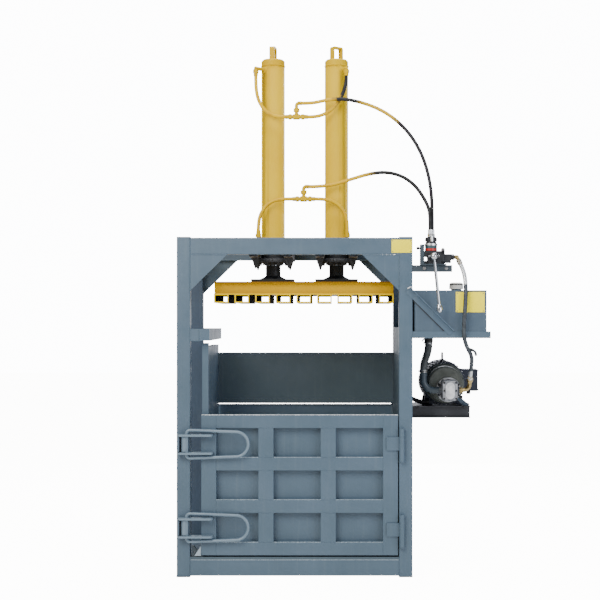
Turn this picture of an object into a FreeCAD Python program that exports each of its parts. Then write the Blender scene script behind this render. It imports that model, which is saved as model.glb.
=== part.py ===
import FreeCAD, Part
import math
import os

# Recycling baler: a vertical press with two hydraulic cylinders. Millimetres, +Z up.
# X runs left to right as the feed opening is faced, Y runs from the front to the back.
# The sketch zero is the middle of the welded frame on the floor; set_down() moves the
# finished solids so that the origin is the middle of the footprint.

# welded frame
frame_width = 1400.0
frame_depth = 860.0
frame_height = 2020.0
post_size = 80.0
post_wall = 5.0
beam_height = 100.0
beam_flange = 48.0
beam_wall = 6.0
beam_drop = 5.0
sill_lift = 8.0
gusset_leg_x = 220.0
gusset_leg_z = 215.0
gusset_thickness = 10.0

left = -frame_width / 2
right = frame_width / 2
front = -frame_depth / 2
back = frame_depth / 2
beam_top = frame_height - beam_drop
beam_low = beam_top - beam_height

# chamber
wall_sheet = 6.0
left_wall_x = left + 184.0
right_wall_x = right - post_size
chamber_front = front + 60.0
chamber_back = back - post_size
left_wall_top = frame_height - 653.0
right_wall_top = frame_height - 540.0
stiffener_width = 38.0
stiffener_top = left_wall_top + 22.0
rail_low = left_wall_top + 36.0
rail_high = rail_low + 70.0
rail_arm = 60.0
rail_inset = 11.0
floor_sheet = 12.0
floor_top = sill_lift + beam_height + floor_sheet
strap_slot_width = 36.0
panel_rib = 40.0
press_x = (left_wall_x + right_wall_x) / 2

# cylinders and what carries them
cylinder_pitch = 396.0
cylinder_xs = (press_x - cylinder_pitch / 2, press_x + cylinder_pitch / 2)
cylinder_outer = 146.0
cylinder_bore = 125.0
cylinder_length = 1267.0
cap_thickness = 40.0
cap_chamfer = 10.0
cap_spigot = 20.0
carrier_width = 50.0
carrier_height = 110.0
carrier_gap = 4.0
carrier_wall = 6.0
carrier_low = beam_top - carrier_height
vee_drop = 62.0
vee_plate = 12.0
vee_y = 140.0
vee_toe = 8.0
flange_size = 244.0
flange_thickness = 23.0
flange_low = carrier_low - flange_thickness
cylinder_top = flange_low + cylinder_length
gland_radius = 66.0
gland_drop = 13.0
gland_low = flange_low - gland_drop
gland_depth = 90.0
fit_clearance = 0.05
bail_width = 80.0
bail_height = 82.0
bail_bar = 12.0
bail_strap = 32.0
bail_radius = 14.0
bail_inner_radius = 8.0
left_bail_turn = 80.0
right_bail_turn = 38.0
hose_y = -115.0
port_boss_radius = 17.0
port_boss_length = 14.0
port_boss_root = 3.0
port_bore = 9.0
port_stub_radius = 11.0
port_nut_radius = 15.0
port_high = cylinder_top - 71.0
port_low = flange_low + 146.0
port_ends_high = (cylinder_xs[0] - 102.0, cylinder_xs[1] + 61.0)
port_ends_low = (cylinder_xs[0] - 86.0, cylinder_xs[1] + 66.0)
port_nut_length = 46.0
port_nut_height = 22.0
port_knuckle = 1.0

# press head
platen_side_gap = 28.0
platen_width = right_wall_x - left_wall_x - 2 * platen_side_gap
platen_depth = 640.0
platen_channel = 78.0
platen_flange = 40.0
platen_web = 6.0
platen_plate_thickness = 16.0
rib_count = 9
rib_width = 88.0
rib_height = 50.0
rib_wall = 4.5
rib_pitch = (platen_width - rib_width) / (rib_count - 1)
crossbar_width = 60.0
rod_radius = 42.0
rod_neck_radius = 46.0
foot_height = 109.0
foot_flange_size = 264.0
foot_flange_thickness = 12.0
foot_flange_corner = 20.0
foot_plate_thickness = 9.0
foot_plate_inset = 4.0
foot_flare_radius = 82.5
foot_flare_height = 24.0
rod_socket_depth = 60.0
socket_gap = 3.0
piston_height = 70.0
piston_seat = 22.0
piston_ring = 7.0
piston_top = cylinder_top - 89.0
platen_top = gland_low - socket_gap - foot_height
platen_low = platen_top - platen_channel
rib_low = platen_low - rib_height

# doors
door_low = floor_top + 11.0
door_high = 963.0
door_bar = 50.0
door_wall = 4.0
door_skin = 5.0
door_proud = 1.0
rear_door_high = door_high + 13.0
stile_width = 88.0
mid_bar_width = 89.0
mid_bar_shares = (0.2985, 0.6717)
door_rail_height = 77.0
door_rail_count = 4
hinge_x = right - 64.0
hinge_radius = 16.0
hinge_pin_radius = 8.0
hinge_tops = (door_high - 80.0, door_low + 242.0)
knuckle_top = 50.0
knuckle_low = 140.0
hinge_collar = 8.0
hinge_play = 0.5
hinge_weld = 20.0
door_left = left + 147.0
door_right = hinge_x - 23.0
strap_left = door_right - 67.0
strap_height = 80.0
strap_thickness = 10.0
panel_low = rear_door_high + 14.0
panel_high = left_wall_top - 53.0

# wedge under the latch side of the doors
ramp_left = left + post_size + 10.0
ramp_width = 70.0
ramp_height = 66.0
ramp_lip = 9.0
ramp_depth = 20.0
ramp_setback = 8.0
ramp_hole = 5.0

# latches
latch_heights = (door_high - 171.0, door_low + 168.0)
arm_spacing = 106.0
arm_thickness = 12.0
arm_depth = 60.0
arm_left = left + 9.0
arm_right = door_left + 71.0
cam_pin_x = left + 62.0
cam_pin_radius = 12.0
handle_bar_radius = 9.0
handle_spread = 166.0
handle_reach = 365.0
handle_corner = 22.0
handle_bend = 73.0
keeper_width = 12.0
keeper_gap = 8.0
cam_radius = 18.0
cam_offset = 12.0
cam_play = 4.0

# tank and shelf
shelf_low = frame_height - 602.0
shelf_angle = 40.0
shelf_wall = 5.0
tank_left = right + 11.0
tank_right = tank_left + 430.0
tank_front = front + 5.0
tank_back = tank_front + 565.0
tank_low = shelf_low + shelf_wall
tank_high = tank_low + 280.0
tank_sheet = 5.0
tank_corner = 12.0
shelf_right = tank_right + 23.0
brace_high = (right - 28.0, shelf_low + 288.0)
brace_low = (right + 231.0, shelf_low + 32.0)
filler_x = tank_left + 264.0
filler_y = tank_front + 175.0
filler_radius = 42.0
filler_neck = 32.0
filler_neck_wall = 4.0
filler_neck_height = 10.0
filler_plug = 18.0
filler_top = tank_high + 50.0
seat_gap = 0.3
outlet_x = tank_left + 103.0
outlet_radius = 23.5
outlet_length = 25.0

# valve and lever
bracket_low = frame_height - 208.0
bracket_size = 40.0
bracket_wall = 4.0
bracket_right = right + 235.0
bracket_high = bracket_low + bracket_size
foot_left = right + 46.0
foot_upright = 6.0
foot_lip = 22.0
foot_high = bracket_high + 122.0
foot_sheet = 7.0
foot_knob_drop = 22.0
foot_knob_reach = 14.0
foot_knob_radius = 9.0
valve_left = foot_left + 24.0
valve_right = valve_left + 119.0
valve_front = front - 25.0
valve_back = front + 58.0
valve_low = bracket_high + foot_sheet
valve_height = 76.0
valve_high = valve_low + valve_height
valve_step = 18.0
valve_shoulder = 34.0
stack_x = valve_left + 40.0
stack_y = front + 13.0
stack_radius = 35.0
stack_ring_low = 30.0
stack_ring_high = 46.0
stack_crown = 24.0
stack_high = valve_high + 83.0
relief_x = valve_right - 8.0
relief_length = 34.0
relief_radius = 10.0
outlet_nut = 15.0
outlet_nose = 10.0
outlet_reach = 38.0
outlet_start = valve_right + outlet_reach
lever_x = stack_x + 11.0
lever_y = valve_front - 56.0
lever_pivot_z = valve_low + 41.0
lever_drop = 306.0
lever_lean = 32.0
lever_radius = 9.0
lever_ball = 22.0
lever_neck = 34.0
knob_radius = 18.0
knob_length = 45.0
knob_bore = 12.0
clevis_root = 22.0
clevis_gap = 46.0
clevis_width = 56.0
clevis_radius = 11.0
pivot_radius = 6.0
lever_knob_z = lever_pivot_z - lever_drop

# power unit
motor_x = right + 222.0
motor_radius = 128.0
motor_back = 330.0
fin_count = 36
fin_height = 12.0
shield_thickness = 16.0
shield_lip = 4.0
motor_foot_spread = 108.0
motor_foot_width = 52.0
motor_foot_length = 44.0
motor_foot_height = 14.0
motor_foot_ys = (50.0, motor_back - 90.0)
motor_web = 20.0
terminal_front = 110.0
terminal_back = motor_back - 80.0
terminal_depth = 91.0
terminal_low = 55.0
terminal_high = 83.0
terminal_corner = 8.0
eye_y = motor_back / 2 - 15.0
eye_radius = 20.0
eye_bar = 6.0
cowl_radius = motor_radius + 9.0
cowl_back = motor_back + 70.0
cowl_sheet = 3.0
cowl_corner = 14.0
cowl_slots = 12
cowl_slot_width = 10.0
fan_radius = 112.0
fan_blades = 8
fan_blade_depth = 34.0
fan_blade_sheet = 4.0
fan_blade_inset = 3.0
fan_hub_wall = 12.0
fan_gap = 8.0
cable_radius = 14.0
cable_gland_radius = 17.0
cable_gland_length = 20.0
shaft_radius = 14.0
shaft_seat = 40.0
base_top = shelf_low - 427.0
base_low = base_top - 72.0
base_right = right + 380.0
base_near = motor_x - 70.0
base_front = -60.0
base_back = motor_back + 15.0
base_wall = 6.0
motor_z = base_top + motor_radius + fin_height
cable_wall_y = 45.0
cable_wall_z = base_top + 52.0
cable_end_x = motor_x - 93.0
cable_end_y = 30.0
cable_end_z = base_top + 20.0
bell_front = -95.0
bell_nose = 100.0
bell_flange = motor_radius - 4.0
pump_front = bell_front - 155.0
pump_shift = 18.0
pump_drop = 35.0
pump_width = 100.0
pump_height = 130.0
pump_flange_radius = 76.0
pump_flange_rim = 4.0
pump_flange_thickness = 20.0
pump_y = pump_front + 85.0
pump_x = motor_x + pump_shift
pump_z = motor_z - pump_drop
pump_cover = 22.0
pump_nose = 12.0
pump_nose_width = 54.0
pump_boss = 12.0
inlet_boss_radius = 27.0
outlet_boss_radius = 22.0


def vec(x, y, z):
    return FreeCAD.Vector(x, y, z)


def block(x0, x1, y0, y1, z0, z1):
    return Part.makeBox(x1 - x0, y1 - y0, z1 - z0, vec(x0, y0, z0))


def round_bar(start, axis, radius, length):
    return Part.makeCylinder(radius, length, vec(*start), vec(*axis))


def prism(points, thickness):
    """A flat outline of (x, y, z) corners, thickened along the vector thickness."""
    wire = Part.makePolygon([vec(*p) for p in points] + [vec(*points[0])])
    return Part.Face(wire).extrude(vec(*thickness))


def turned(profile, x, y):
    """A profile of (radius, z) corners turned about the vertical line through x, y."""
    points = [vec(x + r, y, z) for r, z in profile]
    wire = Part.makePolygon(points + [points[0]])
    return Part.Face(wire).revolve(vec(x, y, 0), vec(0, 0, 1), 360)


def turned_y(profile, x, z):
    """A profile of (radius, y) corners turned about the level line through x, z."""
    points = [vec(x + r, y, z) for r, y in profile]
    wire = Part.makePolygon(points + [points[0]])
    return Part.Face(wire).revolve(vec(x, 0, z), vec(0, 1, 0), 360)


def mirrored(shape):
    """The same piece on the other side of the frame, back to front."""
    return shape.mirror(vec(0, 0, 0), vec(0, 1, 0))


def rounded(shape, radius, test):
    """The shape with the straight edges that pass the test filleted."""
    edges = [e for e in shape.Edges if test(e)]
    return shape.makeFillet(radius, edges)


def lies_along(edge, axis):
    if len(edge.Vertexes) < 2:
        return False
    run = edge.Vertexes[1].Point - edge.Vertexes[0].Point
    return run.Length > 0 and abs(run.normalize().dot(axis)) > 0.999


def box_tube(x0, x1, y0, y1, z0, z1, wall, axis):
    """A square tube, open at both ends along the named axis."""
    outer = block(x0, x1, y0, y1, z0, z1)
    inner = {
        "x": (x0 - 1, x1 + 1, y0 + wall, y1 - wall, z0 + wall, z1 - wall),
        "y": (x0 + wall, x1 - wall, y0 - 1, y1 + 1, z0 + wall, z1 - wall),
        "z": (x0 + wall, x1 - wall, y0 + wall, y1 - wall, z0 - 1, z1 + 1),
    }[axis]
    return outer.cut(block(*inner))


def group(solids):
    return Part.makeCompound(solids)


# ---- welded frame ----

def post(x0, y0):
    """A square tube closed by a foot plate and a top plate."""
    outer = block(x0, x0 + post_size, y0, y0 + post_size, 0, frame_height)
    outer = rounded(outer, post_wall, lambda e: lies_along(e, vec(0, 0, 1)))
    hollow = block(
        x0 + post_wall, x0 + post_size - post_wall, y0 + post_wall, y0 + post_size - post_wall,
        sill_lift, frame_height - post_wall)
    return outer.cut(hollow)


def cross_channel(low):
    """A channel between the front posts, web to the front."""
    x0 = left + post_size
    x1 = right - post_size
    outer = block(x0, x1, front, front + beam_flange, low, low + beam_height)
    outer = rounded(
        outer, beam_wall,
        lambda e: lies_along(e, vec(1, 0, 0)) and abs(e.CenterOfMass.y - front) < 0.1)
    inner = block(
        x0 - 1, x1 + 1, front + beam_wall, front + beam_flange + 1,
        low + beam_wall, low + beam_height - beam_wall)
    return outer.cut(inner)


def side_rails():
    """The four square tubes that tie the front posts to the rear posts."""
    rails = []
    for x0 in (left, right - post_size):
        for low in (sill_lift, beam_low):
            rails.append(box_tube(
                x0, x0 + post_size, front + post_size, back - post_size,
                low, low + beam_height, post_wall, "y"))
    return group(rails)


def corner_gussets():
    """Four triangular plates under the top channels."""
    plates = []
    for side in (-1, 1):
        corner_x = side * (frame_width / 2 - post_size)
        outline = [
            (corner_x, front, beam_low),
            (corner_x - side * gusset_leg_x, front, beam_low),
            (corner_x, front, beam_low - gusset_leg_z),
        ]
        plate = prism(outline, (0, gusset_thickness, 0))
        plates.append(plate)
        plates.append(mirrored(plate))
    return group(plates)


def cylinder_carriers():
    """Two tubes beside each cylinder, front channel to rear channel, with vee feet below."""
    carriers = []
    y0 = front + beam_flange
    for x in cylinder_xs:
        for side in (-1, 1):
            inner = cylinder_outer / 2 + carrier_gap
            x0 = min(x + side * inner, x + side * (inner + carrier_width))
            x1 = x0 + carrier_width
            tube = box_tube(x0, x1, y0, -y0, carrier_low, beam_top, carrier_wall, "y")
            for y in (-vee_y - vee_plate / 2, vee_y - vee_plate / 2):
                outline = [
                    (x0, y, carrier_low),
                    (x1, y, carrier_low),
                    ((x0 + x1 + vee_toe) / 2, y, carrier_low - vee_drop),
                    ((x0 + x1 - vee_toe) / 2, y, carrier_low - vee_drop),
                ]
                tube = tube.fuse(prism(outline, (0, vee_plate, 0)))
            carriers.append(tube.removeSplitter())
    return group(carriers)


# ---- chamber ----

def left_wall():
    """A sheet with an upright edge tube at the front."""
    sheet = block(
        left_wall_x - wall_sheet, left_wall_x, chamber_front + stiffener_width, back - post_size,
        floor_top, left_wall_top)
    edge = block(
        left_wall_x - stiffener_width, left_wall_x, chamber_front, chamber_front + stiffener_width,
        floor_top, stiffener_top)
    top = block(
        left_wall_x - stiffener_width, left_wall_x - wall_sheet, chamber_front + stiffener_width,
        back - post_size, left_wall_top - stiffener_width, left_wall_top)
    foot = block(
        left + post_size, left_wall_x - wall_sheet, chamber_front + stiffener_width, back - post_size,
        floor_top, floor_top + wall_sheet)
    return group([sheet, edge, top, foot])


def right_wall():
    """A sheet that lines the right posts, its folded lip, the bars for the power unit, a gland."""
    x1 = right_wall_x + wall_sheet
    y0 = front + post_size
    y1 = back - post_size
    return group([
        block(right_wall_x, x1, y0, y1, sill_lift + beam_height, right_wall_top),
        block(x1, right, y0, y1, right_wall_top - wall_sheet, right_wall_top),
        block(right - post_size / 2, right, y0, y1, shelf_low, shelf_low + shelf_angle),
        block(right - post_size / 2, right, y0, y1, base_low, base_top),
        block(x1, right - post_size / 2, -post_size / 2, post_size / 2, shelf_low, shelf_low + shelf_angle),
        block(x1, right - post_size / 2, -post_size / 2, post_size / 2, base_low, base_top),
        hex_bar((x1, cable_wall_y, cable_wall_z), (1, 0, 0), cable_gland_radius, cable_gland_length),
    ])


def guide_rail():
    """The capped tube that guides the press head on the left, on an arm from each left post."""
    x1 = left_wall_x + rail_inset
    run = block(x1 - rail_arm, x1, front, back, rail_low, rail_high)
    run = run.cut(block(
        x1 - rail_arm + post_wall, x1 - post_wall, front + post_wall, back - post_wall,
        rail_low + post_wall, rail_high - post_wall))
    pieces = [run]
    for y0 in (front, back - post_size):
        pieces.append(box_tube(
            left + post_size, x1 - rail_arm, y0, y0 + post_size, rail_low, rail_high, post_wall, "x"))
    return group(pieces)


def chamber_floor():
    """The floor sheet on the sills and side rails, with a tie-strap slot under each gap of the ribs."""
    low = sill_lift + beam_height
    sheet = block(left + post_size, right_wall_x, front, back, low, low + floor_sheet)
    for i in range(rib_count - 1):
        x = press_x + (i - (rib_count - 2) / 2) * rib_pitch
        sheet = sheet.cut(block(
            x - strap_slot_width / 2, x + strap_slot_width / 2, chamber_front, chamber_back,
            low + floor_sheet / 2, low + floor_sheet + 1))
    return sheet


def rear_panel():
    """The fixed upper panel at the back, a sheet with a rib above and below."""
    y0 = chamber_back
    x0 = left_wall_x
    x1 = right_wall_x
    sheet = block(x0, x1, y0, y0 + wall_sheet, panel_low, panel_high)
    ribs = []
    for z0 in (panel_low, panel_high - panel_rib, (panel_low + panel_high - panel_rib) / 2):
        ribs.append(block(x0, x1, y0 + wall_sheet, y0 + wall_sheet + panel_rib, z0, z0 + panel_rib))
    ear = block(left + post_size, x0, y0, y0 + panel_rib, panel_high - 2 * panel_rib, panel_high - panel_rib)
    return group([sheet, ear] + ribs)


def wedge_ramp():
    """The wedge on the sill that lifts the closing door, with a bolt hole."""
    y = front + ramp_setback
    outline = [
        (ramp_left, y, floor_top),
        (ramp_left + ramp_width, y, floor_top),
        (ramp_left + ramp_width * 0.77, y, floor_top + ramp_lip),
        (ramp_left + ramp_width * 0.17, y, floor_top + ramp_height),
        (ramp_left, y, floor_top + ramp_height),
    ]
    ramp = prism(outline, (0, ramp_depth, 0))
    hole_x = ramp_left + ramp_width * 0.2
    hole_z = floor_top + ramp_height * 0.45
    return ramp.cut(round_bar((hole_x, front, hole_z), (0, 1, 0), ramp_hole, ramp_setback + ramp_depth + 1))


# ---- doors, hinges and latches ----

door_front = front - door_proud
door_bars_back = door_front + door_bar
hinge_y = door_front - hinge_radius


def upright_bar(x0, x1, low, high):
    """A door bar open only at its foot."""
    outer = block(x0, x1, door_front, door_bars_back, low, high)
    hollow = block(
        x0 + door_wall, x1 - door_wall, door_front + door_wall, door_bars_back - door_wall,
        low - 1, high - door_wall)
    return outer.cut(hollow)


def door_frame(high):
    """Two stiles, the rails between them and the short bars that part the pockets."""
    stile_in_left = door_left + stile_width
    stile_in_right = door_right - stile_width
    bars = [
        upright_bar(door_left, stile_in_left, door_low, high),
        upright_bar(stile_in_right, door_right, door_low, high),
    ]
    pitch = (high - door_rail_height - door_low) / (door_rail_count - 1)
    for i in range(door_rail_count):
        z0 = door_low + i * pitch
        bars.append(box_tube(
            stile_in_left, stile_in_right, door_front, door_bars_back,
            z0, z0 + door_rail_height, door_wall, "x"))
        if i == door_rail_count - 1:
            break
        for share in mid_bar_shares:
            x = stile_in_left + share * (stile_in_right - stile_in_left)
            bars.append(box_tube(
                x - mid_bar_width / 2, x + mid_bar_width / 2, door_front, door_bars_back,
                z0 + door_rail_height, z0 + pitch, door_wall, "z"))
    for top in hinge_tops:
        bars.append(hinge_strap(top - knuckle_top))
    return group(bars)


def hinge_strap(high):
    """A strap welded to the door stile, with its knuckle on the hinge pin."""
    strap = block(
        strap_left, hinge_x, door_front - strap_thickness, door_front, high - strap_height, high - hinge_play)
    knuckle = round_bar(
        (hinge_x, hinge_y, high - knuckle_low), (0, 0, 1), hinge_radius, knuckle_low - hinge_play)
    bore = round_bar(
        (hinge_x, hinge_y, high - knuckle_low - 1), (0, 0, 1), hinge_pin_radius + fit_clearance,
        knuckle_low + 2)
    return strap.fuse(knuckle).cut(bore).removeSplitter()


def hinge_pins():
    """The fixed knuckles on the post, each with its pin and the collar that carries the door."""
    pins = []
    for top in hinge_tops:
        middle = top - knuckle_top
        low = middle - knuckle_low
        knuckle = round_bar((hinge_x, hinge_y, middle), (0, 0, 1), hinge_radius, knuckle_top)
        weld = block(
            hinge_x - hinge_weld / 2, hinge_x + hinge_weld / 2, hinge_y + hinge_radius / 2, front, middle, top)
        pin = round_bar(
            (hinge_x, hinge_y, low - hinge_collar), (0, 0, 1), hinge_pin_radius,
            knuckle_low + hinge_collar + 5)
        collar = round_bar(
            (hinge_x, hinge_y, low - hinge_collar - hinge_play), (0, 0, 1), hinge_radius - 2, hinge_collar)
        pins.append(knuckle.fuse([weld, pin, collar]).removeSplitter())
    return group(pins)


def door_skin_plate(high):
    return block(door_left, door_right, door_bars_back, door_bars_back + door_skin, door_low, high)


cam_y = door_front - arm_depth / 2


def latch_arms():
    """Two flat arms at each latch, welded to the door and bored for the cam pin."""
    arms = []
    for z in latch_heights:
        for side in (-1, 1):
            middle = z + side * arm_spacing / 2
            low = middle - arm_thickness / 2
            arm = block(arm_left, arm_right, door_front - arm_depth, door_front, low, low + arm_thickness)
            arm = rounded(
                arm, arm_depth / 3,
                lambda e: lies_along(e, vec(0, 0, 1)) and e.CenterOfMass.y < door_front - arm_depth + 0.1)
            bore = round_bar(
                (cam_pin_x, cam_y, low - 1), (0, 0, 1), cam_pin_radius + fit_clearance, arm_thickness + 2)
            arms.append(arm.cut(bore))
    return group(arms)


def latch_handle(z):
    """A bent round bar that turns the cam pin between the arms."""
    rise = handle_spread / 2 - handle_corner
    centre_x = cam_pin_x + handle_reach - handle_bend
    run = centre_x - cam_pin_x - handle_corner
    slope = math.atan2(-rise, run) + math.asin((handle_bend - handle_corner) / math.hypot(run, rise))

    def spot(x, height, radius, turn):
        """Points on an arc above the middle of the handle and on its mirror image below."""
        across = x + radius * math.cos(turn)
        up = height + radius * math.sin(turn)
        return vec(across, cam_y, z + up), vec(across, cam_y, z - up)

    corner_x = cam_pin_x + handle_corner
    top, low = spot(corner_x, rise, handle_corner, math.pi)
    bend_top, bend_low = spot(corner_x, rise, handle_corner, (math.pi + math.pi / 2 + slope) / 2)
    start, low_start = spot(corner_x, rise, handle_corner, math.pi / 2 + slope)
    touch, low_touch = spot(centre_x, 0, handle_bend, math.pi / 2 + slope)
    far = vec(cam_pin_x + handle_reach, cam_y, z)
    bar = swept([
        Part.Arc(top, bend_top, start).toShape(),
        Part.LineSegment(start, touch).toShape(),
        Part.Arc(touch, far, low_touch).toShape(),
        Part.LineSegment(low_touch, low_start).toShape(),
        Part.Arc(low_start, bend_low, low).toShape(),
    ], top, vec(0, 0, 1), handle_bar_radius)
    pin = round_bar((low.x, cam_y, low.z - 1), (0, 0, 1), cam_pin_radius, top.z - low.z + 2)
    return bar.fuse([pin, cam_lobe(z)]).removeSplitter()


def cam_lobe(z):
    """The eccentric block on the pin that wedges against the keeper."""
    height = arm_spacing - arm_thickness - 2 * cam_play
    return round_bar((cam_pin_x - cam_offset, cam_y, z - height / 2), (0, 0, 1), cam_radius, height)


def latch_keepers():
    """The upright stop on the left post beside each cam."""
    keepers = []
    for z in latch_heights:
        height = arm_spacing - arm_thickness - 2 * cam_play
        keepers.append(block(
            arm_left, arm_left + keeper_width, door_front - arm_depth + keeper_gap, front,
            z - height / 2, z + height / 2))
    return group(keepers)


# ---- cylinders ----

def port_way(axis_x, end_x):
    """The level direction from a cylinder's axis to its hose end."""
    return vec(end_x - axis_x, hose_y, 0).normalize()


def cylinder(index):
    """A tube with its bolting flange and two welded port bosses."""
    x = cylinder_xs[index]
    outer = cylinder_outer / 2
    bore = cylinder_bore / 2
    tube = turned([
        (bore, flange_low),
        (flange_size / 2, flange_low),
        (flange_size / 2, carrier_low),
        (outer, carrier_low),
        (outer, cylinder_top - cap_thickness),
        (bore, cylinder_top - cap_thickness),
    ], x, 0)
    for end_x, z in ((port_ends_high[index], port_high), (port_ends_low[index], port_low)):
        way = port_way(x, end_x)
        root = bore + port_boss_root
        boss = Part.makeCylinder(
            port_boss_radius, outer + port_boss_length - root, vec(x, 0, z) + way * root, way)
        hole = Part.makeCylinder(port_bore, 2 * port_boss_length + outer, vec(x, 0, z), way)
        tube = tube.fuse(boss).cut(hole)
    return tube.removeSplitter()


def cylinder_cap(index):
    """A chamfered end plate with a spigot in the bore and a lifting bail welded on top."""
    x = cylinder_xs[index]
    outer = cylinder_outer / 2
    spigot = cylinder_bore / 2 - fit_clearance
    low = cylinder_top - cap_thickness
    cap = turned([
        (0, low - cap_spigot),
        (spigot, low - cap_spigot),
        (spigot, low),
        (outer, low),
        (outer, cylinder_top - cap_chamfer),
        (outer - cap_chamfer, cylinder_top),
        (0, cylinder_top),
    ], x, 0)
    turn = (left_bail_turn, right_bail_turn)[index]
    half = bail_width / 2
    loop = block(-half, half, -bail_strap / 2, bail_strap / 2, cylinder_top, cylinder_top + bail_height)
    loop = rounded(
        loop, bail_radius,
        lambda e: lies_along(e, vec(0, 1, 0)) and e.CenterOfMass.z > cylinder_top + 1)
    eye = block(
        -half + bail_bar, half - bail_bar, -bail_strap, bail_strap,
        cylinder_top - 1, cylinder_top + bail_height - bail_bar)
    eye = rounded(
        eye, bail_inner_radius,
        lambda e: lies_along(e, vec(0, 1, 0)) and e.CenterOfMass.z > cylinder_top + 1)
    loop = loop.cut(eye)
    loop.rotate(vec(0, 0, 0), vec(0, 0, 1), turn)
    loop.translate(vec(x, 0, 0))
    return cap.fuse(loop).removeSplitter()


def cylinder_glands():
    """The bushes that the rods slide in, each with a head under the flange."""
    glands = []
    for x in cylinder_xs:
        glands.append(turned([
            (rod_radius + fit_clearance, gland_low),
            (gland_radius, gland_low),
            (gland_radius, flange_low),
            (cylinder_bore / 2 - fit_clearance, flange_low),
            (cylinder_bore / 2 - fit_clearance, flange_low + gland_depth),
            (rod_radius + fit_clearance, flange_low + gland_depth),
        ], x, 0))
    return group(glands)


def cylinder_ports():
    """Steel elbows from the port bosses to the four loop hoses."""
    elbows = []
    for x, high_x, low_x in zip(cylinder_xs, port_ends_high, port_ends_low):
        for end_x, z, turn in ((high_x, port_high, -1), (low_x, port_low, 1)):
            way = port_way(x, end_x)
            reach = math.hypot(end_x - x, hose_y)
            near = cylinder_outer / 2 + port_boss_length
            stub = Part.makeCylinder(port_stub_radius, reach - near, vec(x, 0, z) + way * near, way)
            ball = Part.makeSphere(port_stub_radius + port_knuckle, vec(end_x, hose_y, z))
            nut_start = z + turn * (port_stub_radius - 3)
            nut = hex_bar((end_x, hose_y, nut_start), (0, 0, turn), port_nut_radius, port_nut_height)
            ferrule_start = port_stub_radius + 4
            ferrule = round_bar(
                (end_x, hose_y, z + turn * ferrule_start), (0, 0, turn),
                port_nut_radius - 1.5, port_nut_length - ferrule_start)
            elbows.append(stub.fuse([ball, nut, ferrule]).removeSplitter())
    return group(elbows)


def hex_bar(start, axis, radius, length):
    """A hexagonal bar, radius to its flats."""
    corner = radius / math.cos(math.pi / 6)
    points = []
    for i in range(7):
        turn = math.radians(60 * i)
        points.append(vec(corner * math.cos(turn), corner * math.sin(turn), 0))
    bar = Part.Face(Part.makePolygon(points)).extrude(vec(0, 0, length))
    bar.Placement = FreeCAD.Placement(vec(*start), FreeCAD.Rotation(vec(0, 0, 1), vec(*axis)))
    return bar


# ---- press head ----

platen_left = press_x - platen_width / 2
platen_right = press_x + platen_width / 2


def platen_channel_bar(x0, x1, y0, y1, open_side):
    """One channel of the press head's ring, its groove on the outside."""
    bar = block(x0, x1, y0, y1, platen_low, platen_top)
    groove_depth = platen_flange - platen_web
    low = platen_low + platen_web
    high = platen_top - platen_web
    groove = {
        "front": (x0 - 1, x1 + 1, y0 - 1, y0 + groove_depth, low, high),
        "back": (x0 - 1, x1 + 1, y1 - groove_depth, y1 + 1, low, high),
        "left": (x0 - 1, x0 + groove_depth, y0 - 1, y1 + 1, low, high),
        "right": (x1 - groove_depth, x1 + 1, y0 - 1, y1 + 1, low, high),
    }[open_side]
    return bar.cut(block(*groove))


def platen_frame():
    """A ring of four channels that open outwards, with a crossbar under each rod."""
    y = platen_depth / 2
    inner = y - platen_flange
    bars = [
        platen_channel_bar(platen_left, platen_right, -y, -inner, "front"),
        platen_channel_bar(platen_left, platen_right, inner, y, "back"),
        platen_channel_bar(platen_left, platen_left + platen_flange, -inner, inner, "left"),
        platen_channel_bar(platen_right - platen_flange, platen_right, -inner, inner, "right"),
    ]
    for x in cylinder_xs:
        bars.append(box_tube(
            x - crossbar_width / 2, x + crossbar_width / 2, -inner, inner,
            platen_low, platen_top - platen_plate_thickness, platen_web, "y"))
    return group(bars)


def platen_plate():
    """The top plate, let in between the channels and lying on the crossbars."""
    y = platen_depth / 2 - platen_flange
    return block(
        platen_left + platen_flange, platen_right - platen_flange, -y, y,
        platen_top - platen_plate_thickness, platen_top)


def platen_ribs():
    """Square tubes under the press head, with gaps for the tie straps between them."""
    ribs = []
    for i in range(rib_count):
        x = press_x + (i - (rib_count - 1) / 2) * rib_pitch
        ribs.append(box_tube(
            x - rib_width / 2, x + rib_width / 2, -platen_depth / 2, platen_depth / 2,
            rib_low, platen_low, rib_wall, "y"))
    return group(ribs)


def rod_feet():
    """A spread plate, a square flange and a flared socket at the foot of each rod."""
    feet = []
    half = foot_flange_size / 2
    seat = platen_top + foot_plate_thickness
    face = seat + foot_flange_thickness
    top = gland_low - socket_gap
    for x in cylinder_xs:
        inner = half - foot_plate_inset
        plate = block(x - inner, x + inner, -inner, inner, platen_top, seat)
        flange = block(x - half, x + half, -half, half, seat, face)
        flange = rounded(flange, foot_flange_corner, lambda e: lies_along(e, vec(0, 0, 1)))
        socket = turned([
            (0, face),
            (foot_flare_radius, face),
            (foot_flare_radius * 0.88, face + foot_flare_height / 3),
            (rod_neck_radius * 1.13, face + foot_flare_height * 0.75),
            (rod_neck_radius, face + foot_flare_height),
            (rod_neck_radius, top),
            (0, top),
        ], x, 0)
        bore = round_bar(
            (x, 0, top - rod_socket_depth), (0, 0, 1), rod_radius + fit_clearance, rod_socket_depth + 1)
        feet.append(plate.fuse([flange, socket]).cut(bore).removeSplitter())
    return group(feet)


def piston_rods():
    """Plated rods from the sockets up to the pistons."""
    low = gland_low - socket_gap - rod_socket_depth
    high = piston_top - piston_height + piston_seat
    return group([round_bar((x, 0, low), (0, 0, 1), rod_radius, high - low) for x in cylinder_xs])


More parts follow.
